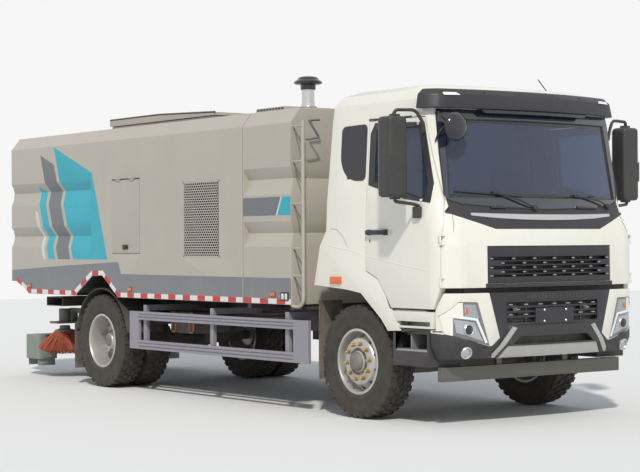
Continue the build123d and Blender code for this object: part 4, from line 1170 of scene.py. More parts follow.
def addBodyFittings(values):
    for side, view, turn in sides:
        hatch = surfaceOf("side_hatch_" + view)
        latch = [seatedBox("latch", hatch, view, *values["latch"], *part)
                 for part in values["latchParts"]]
        addJoined("HatchLatch" + side, latch, "hatch_" + view, "blackPlastic")
        for number, (*spot, body) in enumerate(values["lamps"]):
            for name, size, finish, radius in values["lampParts"]:
                addSeated(f"{name}{number}{side}", bodySkins[body], view, spot, size, body,
                          finish, radius)
        for name, spot, size, finish, radius in values["sockets"]:
            addSeated(name + side, compartmentSkin, view, spot, size, "chassis", finish, radius)


addBodyFittings(fittingSettings)

# Ladder on the front right corner of the body, with a grab handle and dark grey rods under the
# rungs. The rods and the handle's diagonal run are painted shadow: they lie along the shadows that
# the rungs and handle cast on the body's front face.
ladderSettings = {
    "rail": ((1.99, -1.22, 2.72), (1.99, -1.22, 1.03), (1.93, -1.22, 0.985),
             (1.83, -1.22, 0.985), (1.79, -1.22, 1.01)),
    "rungs": (2.672, 2.342, 1.946, 1.529, 1.274),
    "handle": ((1.82, -1.02, 2.735), (1.99, -1.02, 2.731), (1.99, -1.15, 2.722),
               (1.99, -1.03, 2.565), (1.99, -1.178, 2.54)),
    "rungEnds": ((1.79, -1.22, 0.0), (1.99, -1.22, 0.0)),
    "stayEnds": ((1.81, -1.20, -0.01), (1.98, -1.215, -0.17)),
    "railTube": (0.018, 14, 0.05), "rungTube": (0.0105, 10), "handleTube": (0.011, 10, 0.02),
    "stayTube": (0.007, 8),  # radius, sides, bend
}


def addLadder(values):
    # The dark grey piece is partly painted shadow: the handle's level bars are real, while its
    # diagonal run and the rods under the rungs paint cast shadows.
    for name, finish, long, short, replaced in (
            ("Ladder", "bodyBeige", "rail", "rung", ["ladder"]),
            ("LadderStays", "castGrey", "handle", "stay", [])):
        tubes = [tubeAlong(long, values[long], *values[long + "Tube"])]
        tubes += [tubeAlong(short, [(x, y, z + rise) for x, y, rise in values[short + "Ends"]],
                            *values[short + "Tube"]) for z in values["rungs"]]
        addJoined(name, tubes, "chassis", finish, *replaced, sharpAngle=50)


addLadder(ladderSettings)

# Intake stack: bright pipe with a clamp and a mushroom cap
stackSettings = {
    "place": (1.71, -0.95, 0.0),
    "pipe": ((0.0, 2.80), (0.0605, 2.80), (0.0605, 3.085), (0.055, 3.087), (0.0, 3.087)),
    "collar": ((0.058, 2.868), (0.085, 2.868), (0.085, 2.875), (0.066, 2.882), (0.064, 2.905),
               (0.058, 2.905)),
    "clamp": ((0.058, 3.035), (0.071, 3.035), (0.074, 3.045), (0.074, 3.075), (0.070, 3.10),
              (0.0, 3.10), (0.0, 3.05), (0.058, 3.05)),
    "cap": ((0.0, 3.086), (0.118, 3.086), (0.132, 3.094), (0.136, 3.106), (0.129, 3.117),
            (0.104, 3.129), (0.098, 3.143), (0.086, 3.154), (0.056, 3.161), (0.0, 3.163)),
    "pieces": (  # name, finish, parts with their steps, replaced nodes
        ("StackPipe", "brightSteel", (("pipe", 40), ("collar", 40)), ("intake_stack",)),
        ("StackCap", "glossBlack", (("clamp", 40), ("cap", 48)), ()),
    ),
}


def addStack(values):
    for name, finish, parts, replaced in values["pieces"]:
        turned = [turnedPiece(part, values[part], values["place"], "Z", steps)
                  for part, steps in parts]
        addJoined(name, turned, "chassis", finish, *replaced)


addStack(stackSettings)
print("body fittings, ladder and stack placed")

# Cab front: cowl band, bright strip, windscreen seal, wipers and lines
cabFrontSettings = {
    "cowlLow": ((-1.108, 1.828), (-1.03, 1.818), (-0.63, 1.69), (0.63, 1.69), (1.03, 1.818),
                (1.108, 1.828)),
    "cowlTop": ((-1.108, 1.958), (1.108, 1.958)),
    "stripLow": ((-0.84, 1.806), (-0.6, 1.785), (-0.3, 1.772), (0, 1.768), (0.3, 1.772),
                 (0.6, 1.785), (0.84, 1.806)),
    "stripTop": ((-0.84, 1.829), (-0.6, 1.823), (-0.3, 1.818), (0, 1.817), (0.3, 1.818),
                 (0.6, 1.823), (0.84, 1.829)),
    "screenLow": ((-1.044, 1.985), (-1.02, 1.945), (-0.90, 1.905), (-0.57, 1.880), (0, 1.860),
                  (0.57, 1.880), (0.90, 1.905), (1.02, 1.945), (1.044, 1.985)),
    "screenSill": ((-1.044, 1.9862), (-1.0035, 1.9863), (-1.0025, 1.9585), (1.0025, 1.9585),
                   (1.0035, 1.9863), (1.044, 1.9862)),
    "screenSide": ((-1.044, 1.985), (-1.0035, 1.985), (-0.9635, 2.643), (-1.040, 2.643)),
    "screenTop": ((-1.040, 2.643), (1.040, 2.643), (1.030, 2.725), (-1.030, 2.725)),
    "gasket": ((0, 1.957), (1.004, 1.957), (0.965, 2.643), (-0.965, 2.643), (-1.004, 1.957),
               (0, 1.957)),
    "edge": ((-1.03, 2.70), (-1.042, 2.35), (-1.044, 1.99), (-1.02, 1.945), (-0.90, 1.905),
             (-0.57, 1.880), (0, 1.860), (0.57, 1.880), (0.90, 1.905), (1.02, 1.945),
             (1.044, 1.99), (1.042, 2.35), (1.03, 2.70)),
    "fritInner": ((-0.980, 1.99), (0.980, 1.99), (0.94, 2.61), (-0.94, 2.61)),
    "fritOuter": ((-0.988, 1.968), (0.988, 1.968), (0.951, 2.632), (-0.951, 2.632)),
    "skirt": ((-0.765, 1.1905), (0.765, 1.1905), (0.765, 1.2243), (-0.765, 1.2243)),
    "slot": ((-0.57, 1.203), (0.57, 1.203), (0.56, 1.2165), (-0.56, 1.2165)),
    "humps": ((-0.55, 1.875, 0.16), (0.52, 1.88, 0.30)),
    "hump": (0.03, 0.028, 0.012, 0.01),  # depth, height, radius, sink
    "shutLine": ((-1.015, 1.822), (-1.03, 1.74), (-1.051, 1.669)),
    "sheets": {  # finish, lift, thickness, cell
        "CowlBand": ("blackPlastic", 0.0015, 0.004, 0.04),
        "CowlStrip": ("brightSteel", 0.006, 0.008, 0.05),
        "ScreenWrap": ("screenEdge", 0.004, 0.006, 0.05),
        "GrilleSkirt": ("blackPlastic", 0.003, 0.005, 0.05),
        "GrilleSlot": ("frameBlack", 0.0036, 0.003, 0.05),
        "ScreenBorder": ("glossBlack", 0.0008, 0.002, 0.05),
    },
    "lines": {  # finish, radius, lift, step, sides, bend
        "ScreenSeal": ("rubber", 0.007, 0.002, 0.04, 8, 0.02),
        "ScreenGasket": ("rubber", 0.010, -0.006, 0.05),
        "ShutLine": ("frameBlack", 0.002, 0.0, 0.03, 6),
    },
}


def addCabFront(values):
    screen = betweenLines(values["screenLow"], values["screenSill"])
    screen += [onSide(values["screenSide"], turn) for turn in (-1, 1)] + [values["screenTop"]]
    for name, faces, skin in (
            ("CowlBand", betweenLines(values["cowlLow"], values["cowlTop"]), cabSkin),
            ("CowlStrip", betweenLines(values["stripLow"], values["stripTop"]), cabSkin),
            ("ScreenWrap", screen, cabFormSkin), ("GrilleSkirt", [values["skirt"]], cabFormSkin),
            ("GrilleSlot", [values["slot"]], cabFormSkin),
            ("ScreenBorder", ringFaces(values["fritOuter"], values["fritInner"]), screenSkin)):
        addDraped(name, faces, "front", skin, "cab", *values["sheets"][name])
    for name, path, skin in (("ScreenSeal", values["edge"], cabSkin),
                             ("ScreenGasket", values["gasket"], cabFormSkin)):
        addLine(name, path, "front", skin, "cab", *values["lines"][name])
    depth, height, *shape = values["hump"]
    for number, (y, z, width) in enumerate(values["humps"]):
        addSeated(f"CowlHump{number}", cabSkin, "front", (y, z), (depth, width, height), "cab",
                  "glossBlack", *shape)
    for side, view, turn in sides:
        addLine("ShutLine" + side, onSide(values["shutLine"], turn), "front", cabSkin, "cab",
                *values["lines"]["ShutLine"])


addCabFront(cabFrontSettings)

# Wipers: pivot, bent arm and blade. Places are (y, z) in the front view.
wiperSettings = {
    "armRadius": 0.008, "armLift": 0.03, "bladeLift": 0.014, "bladeRadius": 0.0065,
    "rubberRadius": 0.003, "bladeSteps": 12, "cover": ((0, -0.02), (0.026, -0.02), (0.026, 0.026),
                                                       (0.018, 0.034), (0, 0.034)),
    "wipers": (  # name, pivot, elbow, clip, blade ends
        ("Right", (-0.151, 1.872), (-0.30, 1.935), (-0.56, 2.003), (-0.26, 1.972), (-0.945, 2.016)),
        ("Left", (0.838, 1.894), (0.72, 1.945), (0.40, 1.985), (0.68, 1.985), (-0.017, 1.967)),
    ),
}


def onScreen(spot, lift=0.0):
    return dropOn(screenSkin, "front", *spot, lift)


def addWipers(values):
    lift, count = values["armLift"], values["bladeSteps"]
    for name, pivot, elbow, clip, *ends in values["wipers"]:
        arm = tubeAlong("arm", (onScreen(pivot, 0.02), onScreen(elbow, lift + 0.008),
                                onScreen(clip, lift)), values["armRadius"], 10, 0.05)
        cover = turnedPiece("cover", values["cover"], onScreen(pivot), "X", 20)
        start, end = (Vector(spot) for spot in ends)
        spots = [onScreen(start.lerp(end, i / count), values["bladeLift"])
                 for i in range(count + 1)]
        blade = tubeAlong("blade", spots, values["bladeRadius"], 8)
        rubber = tubeAlong("rubber", [p - Vector((0.009, 0, 0)) for p in spots],
                           values["rubberRadius"], 6)
        hold = onScreen(clip, 0.036)
        holder = roundedBox("holder", hold - Vector((0.026, 0.03, 0.012)),
                            hold + Vector((0.002, 0.03, 0.012)), 0.005)
        addJoined("Wiper" + name, [arm, cover, blade, rubber, holder], "cab", "blackPlastic",
                  sharpAngle=50)


addWipers(wiperSettings)


# The bowed line of the nose, and its surface moved back, to carry the dark backing of a grille
def noseX(y):
    return 4.048 - 0.0935 * y * y


def bowedSkin(back):
    places = [0.1 * i - 1 for i in range(21)]
    return surfaceThrough([[(noseX(y) - back - slope, y, z) for y in places]
                           for z, slope in ((0.5, 0.0), (1.6, 0.01))])


# Upper grille: a bowed panel with five rows of staggered slots between bars
grilleSettings = {
    "rows": (1.289, 1.321, 1.359, 1.397, 1.4355), "cell": 0.233, "half": 0.699, "most": 0.73,
    "pip": (0.016, 0.034, 0.010), "sink": 0.012, "radius": 0.003,
    "backing": (-0.735, 1.24, 0.735, 1.53), "back": 0.05, "sheet": (0.0, 0.004, 0.06),
}


def addGrille(values):
    grille = surfaceOf("grille")
    depth, width, height = values["pip"]
    pips = []
    for row, z in enumerate(values["rows"]):
        for i in range(7 - row % 2):
            y = (i + row % 2 / 2) * values["cell"] - values["half"]
            spot = dropOn(grille, "front", y, z)
            if abs(y) < values["most"] and spot is not None:
                low = spot - Vector((values["sink"], width / 2, height / 2))
                pips.append(roundedBox("pip", low, low + Vector((depth, width, height)),
                                       values["radius"]))
    addJoined("GrillePips", pips, "cab", "dullSteel")
    addDraped("GrilleBacking", rectangle(*values["backing"]), "front", bowedSkin(values["back"]),
              "cab", "frameBlack", *values["sheet"])


addGrille(grilleSettings)
print("cab front placed")

# Bumper: bright bars of the frame, mesh strip, grille pips, plate bolts and fog lamps
bumperSettings = {
    "diagonal": ((-0.496, 0.853), (-0.446, 0.838), (-0.663, 0.590), (-0.722, 0.590)),
    "step": ((-1.166, 0.822), (-1.07, 0.819), (-1.025, 0.778), (-0.75, 0.684)),
    "mesh": (-0.335, 1.085, 0.335, 1.135), "meshStep": (0.042, 0.0165),
    "pips": {1.038: (-0.50, -0.33, -0.165, 0.0, 0.165, 0.33, 0.50), 0.995: (-0.42, 0.42),
             0.952: (-0.50, -0.33, 0.33, 0.50)},
    "pipLow": (-0.023, -0.022, -0.005), "pipHigh": (-0.005, 0.022, 0.005),
    "bolts": ((-0.13, 0.985), (0.13, 0.985), (-0.13, 0.889), (0.13, 0.889)),
    "bolt": ((0, -0.004), (0.011, -0.004), (0.011, 0.004), (0.007, 0.008), (0, 0.008)),
    "backing": (-0.60, 0.69, 0.60, 1.07), "back": 0.06, "fog": (0.949, 0.641),
    "bezel": ((0.036, -0.02), (0.056, -0.02), (0.055, 0.010), (0.048, 0.018), (0.040, 0.014),
              (0.036, 0.006)),
    "lens": ((0, -0.01), (0.038, -0.01), (0.038, 0.004), (0.028, 0.011), (0.012, 0.014),
             (0, 0.015)),
    "filler": ((3.905, -0.95, 1.06), (3.925, 0.95, 1.208)),
    "barSheet": (0.004, 0.004, 0.05), "meshSheet": (0.0008, 0.002, 0.06),
    "backSheet": (0.0, 0.004, 0.06), "stepLine": (0.007, -0.002), "wire": (0.0016, 0.0018),
    "wireSteps": (0.03, 0.08), "wireSides": 6,
}


# Turned pieces that stand on both sides of a front face: name, outline, finish
def addRounds(rounds, skin, spot):
    for side, view, turn in sides:
        for name, outline, finish in rounds:
            piece = turnedPiece(name + side, outline, origin, "X", 32)
            addPiece(seatPiece(piece, skin, "front", turn * spot[0], spot[1]), "chassis", finish)


def addBumperTrim(values):
    for side, view, turn in sides:
        addDraped("BumperBar" + side, [onSide(values["diagonal"], turn)], "front", bumperSkin,
                  "chassis", "skidSilver", *values["barSheet"])
        addLine("BumperStep" + side, onSide(values["step"], turn), "front", bumperSkin, "chassis",
                "blackPlastic", *values["stepLine"])
    y0, z0, y1, z1 = values["mesh"]
    stepY, stepZ = values["meshStep"]
    addDraped("MeshBacking", rectangle(*values["mesh"]), "front", bumperSkin, "chassis",
              "frameBlack", *values["meshSheet"])
    upright = [((y, z0), (y, z1))
               for y in (y0 + i * stepY for i in range(int((y1 - y0) / stepY) + 1))]
    level = [((y0, z), (y1, z))
             for z in (z0 + i * stepZ for i in range(int((z1 - z0) / stepZ) + 1))]
    wires = [drapedTube("wire", path, "front", bumperSkin, *values["wire"], step,
                        values["wireSides"])
             for paths, step in zip((upright, level), values["wireSteps"]) for path in paths]
    addJoined("BumperMesh", wires, "chassis", "blackPlastic", sharpAngle=50)
    pips = [roundedBox("pip", *(Vector(corner) + Vector((noseX(y), y, z))
                                for corner in (values["pipLow"], values["pipHigh"])), 0.003)
            for z, row in values["pips"].items() for y in row]
    addJoined("BumperPips", pips, "chassis", "dullSteel")
    bolts = [turnedPiece("bolt", values["bolt"], dropOn(bumperSkin, "front", y, z), "X", 16)
             for y, z in values["bolts"]]
    addJoined("PlateBolts", bolts, "chassis", "brightSteel")
    addDraped("BumperBacking", rectangle(*values["backing"]), "front", bowedSkin(values["back"]),
              "chassis", "frameBlack", *values["backSheet"])
    addRounds((("FogBezel", values["bezel"], "brightSteel"),
               ("FogLens", values["lens"], "lampChrome")), bumperSkin, values["fog"])
    # Painted shade: a dark plate fills the gap under the cab's lower front edge, where the gap's
    # shadow falls.
    addPiece(roundedBox("BumperFiller", *values["filler"]), "chassis", "frameBlack")


addBumperTrim(bumperSettings)

# Headlamps: bright reflector with an L-shaped light bar, a round lens and an amber bulb
lampSettings = {
    "bar": ((-1.072, 0.940), (-0.862, 0.912), (-0.765, 0.715)), "barWidth": 0.022,
    "upper": ((-0.982, 1.052), (-0.868, 1.045), (-0.832, 0.935), (-0.974, 0.950)),
    "lower": ((-1.062, 0.925), (-0.875, 0.895), (-0.79, 0.735), (-1.045, 0.815)),
    "lid": ((-1.10, 0.945), (-0.99, 0.952), (-0.995, 1.066)),
    "amber": (-0.955, 0.995), "amberSize": (0.01, 0.03, 0.045), "lensSpot": (0.935, 0.835),
    "ring": ((0.040, -0.01), (0.052, -0.01), (0.052, 0.008), (0.046, 0.014), (0.040, 0.010)),
    "lens": ((0, -0.01), (0.041, -0.01), (0.041, 0.004), (0.032, 0.013), (0.016, 0.019),
             (0, 0.021)),
    "barSheet": (0.004, 0.006, 0.03), "bowlSheet": (0.0015, 0.003, 0.03),
    "lidLine": (0.004, 0.0, 0.03), "amberRadius": 0.005,
}


def addHeadlamps(values):
    for side, view, turn in sides:
        bar = stripFaces(onSide(values["bar"], turn), values["barWidth"] * -turn)
        for name, faces, finish, sheet in (
                ("LightBar", bar, "lampGlow", "barSheet"),
                ("LampUpper", [onSide(values["upper"], turn)], "lampClear", "bowlSheet"),
                ("LampLower", [onSide(values["lower"], turn)], "lampChrome", "bowlSheet")):
            addDraped(name + side, faces, "front", lampSkin, "chassis", finish, *values[sheet])
        addLine("LampLid" + side, onSide(values["lid"], turn), "front", lampSkin, "chassis",
                "cabIvory", *values["lidLine"])
        spot = onSide([values["amber"]], turn)[0]
        addSeated("LampBulb" + side, lampSkin, "front", spot, values["amberSize"], "chassis",
                  "lampAmber", values["amberRadius"])
    addRounds((("LensRing", values["ring"], "brightSteel"),
               ("LensBall", values["lens"], "glossBlack")), lampSkin, values["lensSpot"])


addHeadlamps(lampSettings)
print("bumper and lamps placed")

# Cab sides: window seals, handle, creases, gutter strip and fender lamp
cabSideSettings = {
    "doorSeal": (((2.888, 2.090), (2.890, 2.545), (2.950, 2.640), (3.600, 2.612), (3.722, 2.085),
                  (3.712, 1.915), (3.395, 1.955)),
                 ((2.974, 2.120), (2.974, 2.50), (2.976, 2.576), (3.545, 2.576), (3.686, 2.082),
                  (3.676, 1.964), (3.568, 1.964))),
    "quarterPane": ((2.468, 2.32), (2.470, 2.630), (2.842, 2.638), (2.842, 2.130), (2.66, 2.134),
                    (2.53, 2.200)),
    "paneRadius": 0.06, "sealSheet": (0.003, 0.014, 0.08), "paneSheet": (0.003, 0.005, 0.05),
    "boxes": (  # name, spot, size, finish
        ("HandleCup", (3.04, 1.672), (0.006, 0.30, 0.085), "cabIvory"),
        ("KeyHole", (2.925, 1.594), (0.004, 0.012, 0.03), "frameBlack"),
    ),
    "grip": (3.04, 1.668), "gripSize": (0.034, 0.285, 0.042), "endShift": 0.115,
    "endSize": (0.03, 0.055, 0.052), "gripRadius": 0.012, "gripSink": -0.006,
    "lines": (  # name, path, carried by the door, finish, radius, lift, step, sides, bend
        ("SideLines", ((2.294, 1.712), (2.433, 1.70), (2.53, 1.64), (2.602, 1.538)), False,
         "trimGrey", 0.0022, -0.0004, 0.06, 6, 0.08),
        ("CabCrease", ((2.30, 1.556), (2.616, 1.513), (2.793, 1.476)), False,
         "cabIvory", 0.006, -0.003, 0.1),
        ("DoorCrease", ((2.88, 1.462), (3.305, 1.392), (3.80, 1.326)), True,
         "cabIvory", 0.006, -0.003, 0.1),
        ("DoorGutter", ((2.862, 2.672), (3.45, 2.668)), False, "blackPlastic", 0.008, 0.0, 0.1),
    ),
    "fenderLamp": (2.43, 1.236), "fenderSize": (0.02, 0.16, 0.07), "fenderRadius": 0.008,
}


def addCabSides(values):
    outer, inner = values["doorSeal"]
    pane = roundedOutline(values["quarterPane"], values["paneRadius"], 4)
    for side, view, turn in sides:
        doorSkin, door = surfaceOf("door_" + view), "door_" + view
        addDraped("DoorWindowSeal" + side, ringFaces(outer, inner, 4), view, cabFormSkin, door,
                  "blackPlastic", *values["sealSheet"])
        addDraped("QuarterPane" + side, [pane], view, cabFormSkin, "cab", "paneBlack",
                  *values["paneSheet"])
        for name, spot, size, finish in values["boxes"]:
            addSeated(name + side, doorSkin, view, spot, size, door, finish)
        x, z = values["grip"]
        grip = seatedBox("grip", doorSkin, view, x, z, values["gripSize"], values["gripRadius"],
                         values["gripSink"])
        ends = [seatedBox("end", doorSkin, view, x + shift, z, values["endSize"],
                          values["gripRadius"])
                for shift in (-values["endShift"], values["endShift"])]
        addJoined("DoorHandle" + side, [grip, *ends], door, "blackPlastic")
        for name, path, onDoor, finish, *shape in values["lines"]:
            addLine(name + side, path, view, doorSkin if onDoor else cabSkin,
                    door if onDoor else "cab", finish, *shape)
        addSeated("FenderLamp" + side, cabSkin, view, values["fenderLamp"], values["fenderSize"],
                  "cab", "lampAmber", values["fenderRadius"])


addCabSides(cabSideSettings)

# Kerb mirror: a domed disc on a bent stalk, with its lead
kerbSettings = {
    "centre": (3.875, -0.98, 2.56),
    "dome": ((0.0, 0.042), (0.05, 0.040), (0.09, 0.030), (0.118, 0.008), (0.124, -0.008),
             (0.118, -0.016), (0.10, -0.018), (0.0, -0.018)),
    "boss": ((0, -0.05), (0.03, -0.05), (0.034, -0.02), (0.034, 0.0), (0, 0.0)),
    "stalk": ((3.86, -0.98, 2.575), (3.80, -1.0, 2.60), (3.74, -1.03, 2.665), (3.70, -1.02, 2.70)),
    "lead": ((3.80, -1.0, 2.60), (3.735, -1.06, 2.52), (3.70, -1.066, 2.44)),
    "stalkTube": (0.014, 12, 0.03), "leadTube": (0.008, 10, 0.04),
}


def addKerbMirror(values):
    parts = [turnedPiece(name, values[name], values["centre"], "X", steps)
             for name, steps in (("dome", 40), ("boss", 24))]
    parts += [tubeAlong(name, values[name], *values[name + "Tube"]) for name in ("stalk", "lead")]
    addJoined("KerbMirror", parts, "cab", "glossBlack", "kerb_mirror", sharpAngle=40)


addKerbMirror(kerbSettings)
print("cab sides and kerb mirror placed")

# Wheels. One tyre and its lugs are made about the origin and copied to each place.
wheelSettings = {
    "carcass": ((0.288, -0.108), (0.296, -0.122), (0.330, -0.134), (0.336, -0.131),
                (0.400, -0.140), (0.452, -0.136), (0.456, -0.133), (0.480, -0.129),
                (0.496, -0.118), (0.499, -0.09)),
    "pitches": 34, "lugFoot": 0.494, "lugTop": 0.5118, "shoulderDrop": 0.006,
    "slant": 0.010, "taper": 0.92,
    "lugs": (  # y from, y to, shift along, length
        (-0.128, -0.072, 0.0, 0.052), (-0.062, -0.012, 0.040, 0.060), (0.000, 0.048, 0.006, 0.060),
        (0.060, 0.128, 0.046, 0.052),
    ),
    "shoulder": ((0.470, 1.02), (0.505, 1.0), (0.505, 0.9), (0.470, 0.9)),  # radius, share of y
    "shoulderReach": 0.42, "front": (2.7, (1.02,)), "rear": (-1.8, (1.095, 0.765)),
    "axleZ": 0.512,
}
shoulderFaces = ((0, 1, 3, 2), (2, 3, 5, 4), (4, 5, 7, 6), (6, 7, 1, 0), (0, 2, 4, 6), (1, 7, 5, 3))


# The lugs of one pitch; the outer blocks run down the side wall
def makeLugs(values):
    bm = bmesh.new()
    top = values["lugTop"]

    def cornerAt(radius, along, y):
        return bm.verts.new((radius * math.sin(along / top), y, radius * math.cos(along / top)))

    for y0, y1, shift, length in values["lugs"]:
        onShoulder = abs(y0 + y1) > 0.15
        corners = []
        for radius, taper in ((values["lugFoot"], 1.0), (top, values["taper"])):
            for along in (-length / 2, length / 2):
                for y, slant in ((y0, values["slant"]), (y1, -values["slant"])):
                    drop = radius == top and onShoulder and abs(y) > 0.12
                    corners.append(cornerAt(radius - drop * values["shoulderDrop"],
                                            shift + along * taper + slant, y))
        addFaces(bm, corners, boxFaces)
        if onShoulder:
            outer = max(y0, y1, key=abs)
            addFaces(bm, [cornerAt(radius, shift + turn * length * values["shoulderReach"],
                                   outer * share)
                          for radius, share in values["shoulder"] for turn in (-1, 1)],
                     shoulderFaces)
    bmesh.ops.recalc_face_normals(bm, faces=bm.faces)
    return bmeshObject("lugRow", bm)


def makeTyre(values):
    half = values["carcass"]
    carcass = turnedPiece("carcass", half + tuple((radius, -y) for radius, y in reversed(half)),
                          steps=96, sharpAngle=50)
    lugs = makeLugs(values)
    ring = growMesh("lugRing", ringTree, "tyreRubber", part=lugs, count=values["pitches"])
    dropObjects(lugs)
    return joinMeshes("tyreModel", [carcass, ring], 40)


# Copies of a model at places written for the left side
def placedCopies(name, model, x, places, z, turn):
    copies = []
    for y in places:
        mesh = model.data.copy()
        if turn < 0:
            flipMesh(mesh)
        mesh.transform(Matrix.Translation((x, turn * y, z)))
        copies.append(newObject("copy", mesh))
    return joinMeshes(name, copies, 40)


def addTyres(values):
    model = makeTyre(values)
    for side, view, turn in sides:
        for name, axle, body, node in (
                ("TyreFront", "front", "front_wheel_", "tyre_front_"),
                ("TyresRear", "rear", "rear_wheels_", "tyres_rear_")):
            x, places = values[axle]
            addPiece(placedCopies(name + side, model, x, places, values["axleZ"], turn),
                     body + view, "tyreRubber", node + view)
    dropObjects(model)


addTyres(wheelSettings)

# Wheel nuts, hub caps and the dark ring round each hub
hubSettings = {
    "nuts": 10, "nutTurn": 0.2,
    "front": {
        "nut": (0.160, 0.112, 0.040, 0.0165),
        "cap": ((0.0, 0.172), (0.045, 0.170), (0.072, 0.160), (0.086, 0.140), (0.090, 0.118),
                (0.096, 0.112), (0.0, 0.100)),
        "ring": ((0.092, 0.104), (0.122, 0.104), (0.122, 0.1195), (0.092, 0.1195)),
    },
    "rear": {
        "nut": (0.150, -0.152, 0.040, 0.0165),
        "cap": ((0.0, 0.052), (0.040, 0.050), (0.066, 0.042), (0.074, 0.030), (0.0, 0.020)),
        "ring": ((0.070, -0.02), (0.118, -0.02), (0.118, -0.012), (0.100, -0.006),
                 (0.070, -0.006)),
    },
}


def addHubs(values):
    for axle, body in (("front", "front_wheel_"), ("rear", "rear_wheels_")):
        x, (y, *inner) = wheelSettings[axle]
        nut = makeNut(*values[axle]["nut"])
        nuts = growMesh("nutRing", ringTree, "nutGold", part=nut, count=values["nuts"],
                        turn=values["nutTurn"])
        cap, ring = (turnedPiece(part, values[axle][part], steps=40) for part in ("cap", "ring"))
        for side, view, turn in sides:
            for model, name, finish in ((nuts, "WheelNuts", "nutGold"),
                                        (cap, "HubCap", "castGrey"),
                                        (ring, "HubRing", "frameBlack")):
                addPiece(placedCopies(name + axle.title() + side, model, x, [y],
                                      wheelSettings["axleZ"], turn), body + view, finish)
        dropObjects(nut, nuts, cap, ring)


addHubs(hubSettings)
print("wheels placed")

# Steps: ribbed treads and divider
stepSettings = {
    "treads": (("LowerTread", ((3.29, 0.985, 0.640), (3.722, 1.179, 0.662)), "chassis"),
               ("UpperTread", ((3.27, 1.05, 0.984), (3.69, 1.172, 0.998)), "cab")),
    "ribs": 12, "ribLength": 0.016, "plateDrop": 0.004, "ribFoot": 0.006, "ribInset": 0.004,
    "margin": 0.01,
    "divider": ((3.478, 0.99, 0.660), (3.486, 1.168, 0.790)),
}


def addStepParts(values):
    margin = values["margin"]
    for side, view, turn in sides:
        def placed(name, low, high, radius):
            y0, y1 = sorted((turn * low[1], turn * high[1]))
            return roundedBox(name, (low[0], y0, low[2]), (high[0], y1, high[2]), radius)

        for name, ((x0, y0, z0), (x1, y1, z1)), body in values["treads"]:
            parts = [placed("plate", (x0, y0, z0), (x1, y1, z1 - values["plateDrop"]), 0.003)]
            for i in range(values["ribs"]):
                x = x0 + margin + (x1 - x0 - 2 * margin) * i / values["ribs"]
                parts.append(placed("rib", (x, y0 + margin, z1 - values["ribFoot"]),
                                    (x + values["ribLength"], y1 - values["ribInset"], z1),
                                    0.002))
            addJoined(name + side, parts, body, "dullSteel")
        addPiece(placed("StepDivider" + side, *values["divider"], 0.002), "chassis", "dullSteel")


addStepParts(stepSettings)
print("steps placed")

# Disc brushes: cone of bristles under a hub plate
brushSettings = {
    "centre": (-3.35, 0.85, 0.555),
    "crown": {"bristles": 1500, "innerRadius": 0.06, "outerRadius": 0.115, "length": 0.285,
              "thickness": 0.0034, "leanInner": 0.30, "leanOuter": 0.76, "seed": 3},
    "hub": ((0.0, 0.060), (0.060, 0.060), (0.066, 0.020), (0.118, 0.008), (0.124, -0.012),
            (0.112, -0.022), (0.0, -0.022)),
    "core": ((0.0, -0.02), (0.110, -0.02), (0.190, -0.140), (0.165, -0.155), (0.060, -0.06),
             (0.0, -0.06)),
}


def addBrushes(values):
    crown = growMesh("crown", bristleTree, "bristleRed", **values["crown"])
    core, hub = (turnedPiece(part, values[part], axis="Z", steps=40) for part in ("core", "hub"))
    x, y, z = values["centre"]
    for side, view, turn in sides:
        parts = [placedCopies("part", model, x, [y], z, turn) for model in (crown, core)]
        addJoined("DiscBrush" + side, parts, "brush_" + view, "bristleRed", "disc_brush_" + view,
                  sharpAngle=50)
        addPiece(placedCopies("BrushHub" + side, hub, x, [y], z, turn), "brush_" + view,
                 "castGrey")
    dropObjects(crown, core, hub)


addBrushes(brushSettings)
print("brushes placed")

# Sun visor: hanging middle lip, clearance lamps and cap screws; aerial and nubs on the roof
visorSettings = {
    "lip": ((-0.60, 2.694), (0.60, 2.694), (0.66, 2.742), (-0.66, 2.742)),
    "lamp": ((-0.995, 2.800), (-0.84, 2.803), (-0.87, 2.826), (-0.995, 2.826)),
    "screws": (-0.98, -0.58, -0.2, 0.2, 0.58, 0.98), "screwZ": 2.835,
    "screw": ((0, -0.004), (0.010, -0.004), (0.009, 0.004), (0.004, 0.007), (0, 0.007)),
    "whip": ((3.30, 0.68, 2.94), (3.28, 0.55, 3.085)), "footPlace": (3.30, 0.68, 2.935),
    "foot": ((0, 0), (0.022, 0), (0.018, 0.014), (0.008, 0.024), (0, 0.024)),
    "nub": ((0, 0), (0.024, 0), (0.020, 0.018), (0, 0.024)),
    "nubs": ((2.72, -0.80, 2.93), (2.86, -0.80, 2.93)), "whipRadius": 0.005,
    "lipSheet": (-0.012, 0.03, 0.05), "lampSheet": (0.004, 0.006, 0.04),
}


def addVisorParts(values):
    visor = surfaceOf("roof_visor")
    rise = Vector((0, 0, visorRise))
    addDraped("VisorLip", [values["lip"]], "front", visor, "cab", "glossBlack",
              *values["lipSheet"])
    for side, view, turn in sides:
        lamp = drape("VisorLamp" + side, [onSide(values["lamp"], turn)], "front", visor,
                     *values["lampSheet"])
        lamp.data.transform(Matrix.Translation(rise))
        addPiece(lamp, "cab", "lampGlow")
    screws = [turnedPiece("screw", values["screw"],
                          dropOn(visor, "front", y, values["screwZ"]) + rise, "X", 12)
              for y in values["screws"]]
    addJoined("VisorScrews", screws, "cab", "glossBlack")
    aerial = [tubeAlong("whip", values["whip"], values["whipRadius"], 8),
              turnedPiece("foot", values["foot"], values["footPlace"], "Z", 20)]
    aerial += [turnedPiece("nub", values["nub"], place, "Z", 16) for place in values["nubs"]]
    addJoined("RoofAerial", aerial, "cab", "glossBlack", sharpAngle=40)


addVisorParts(visorSettings)

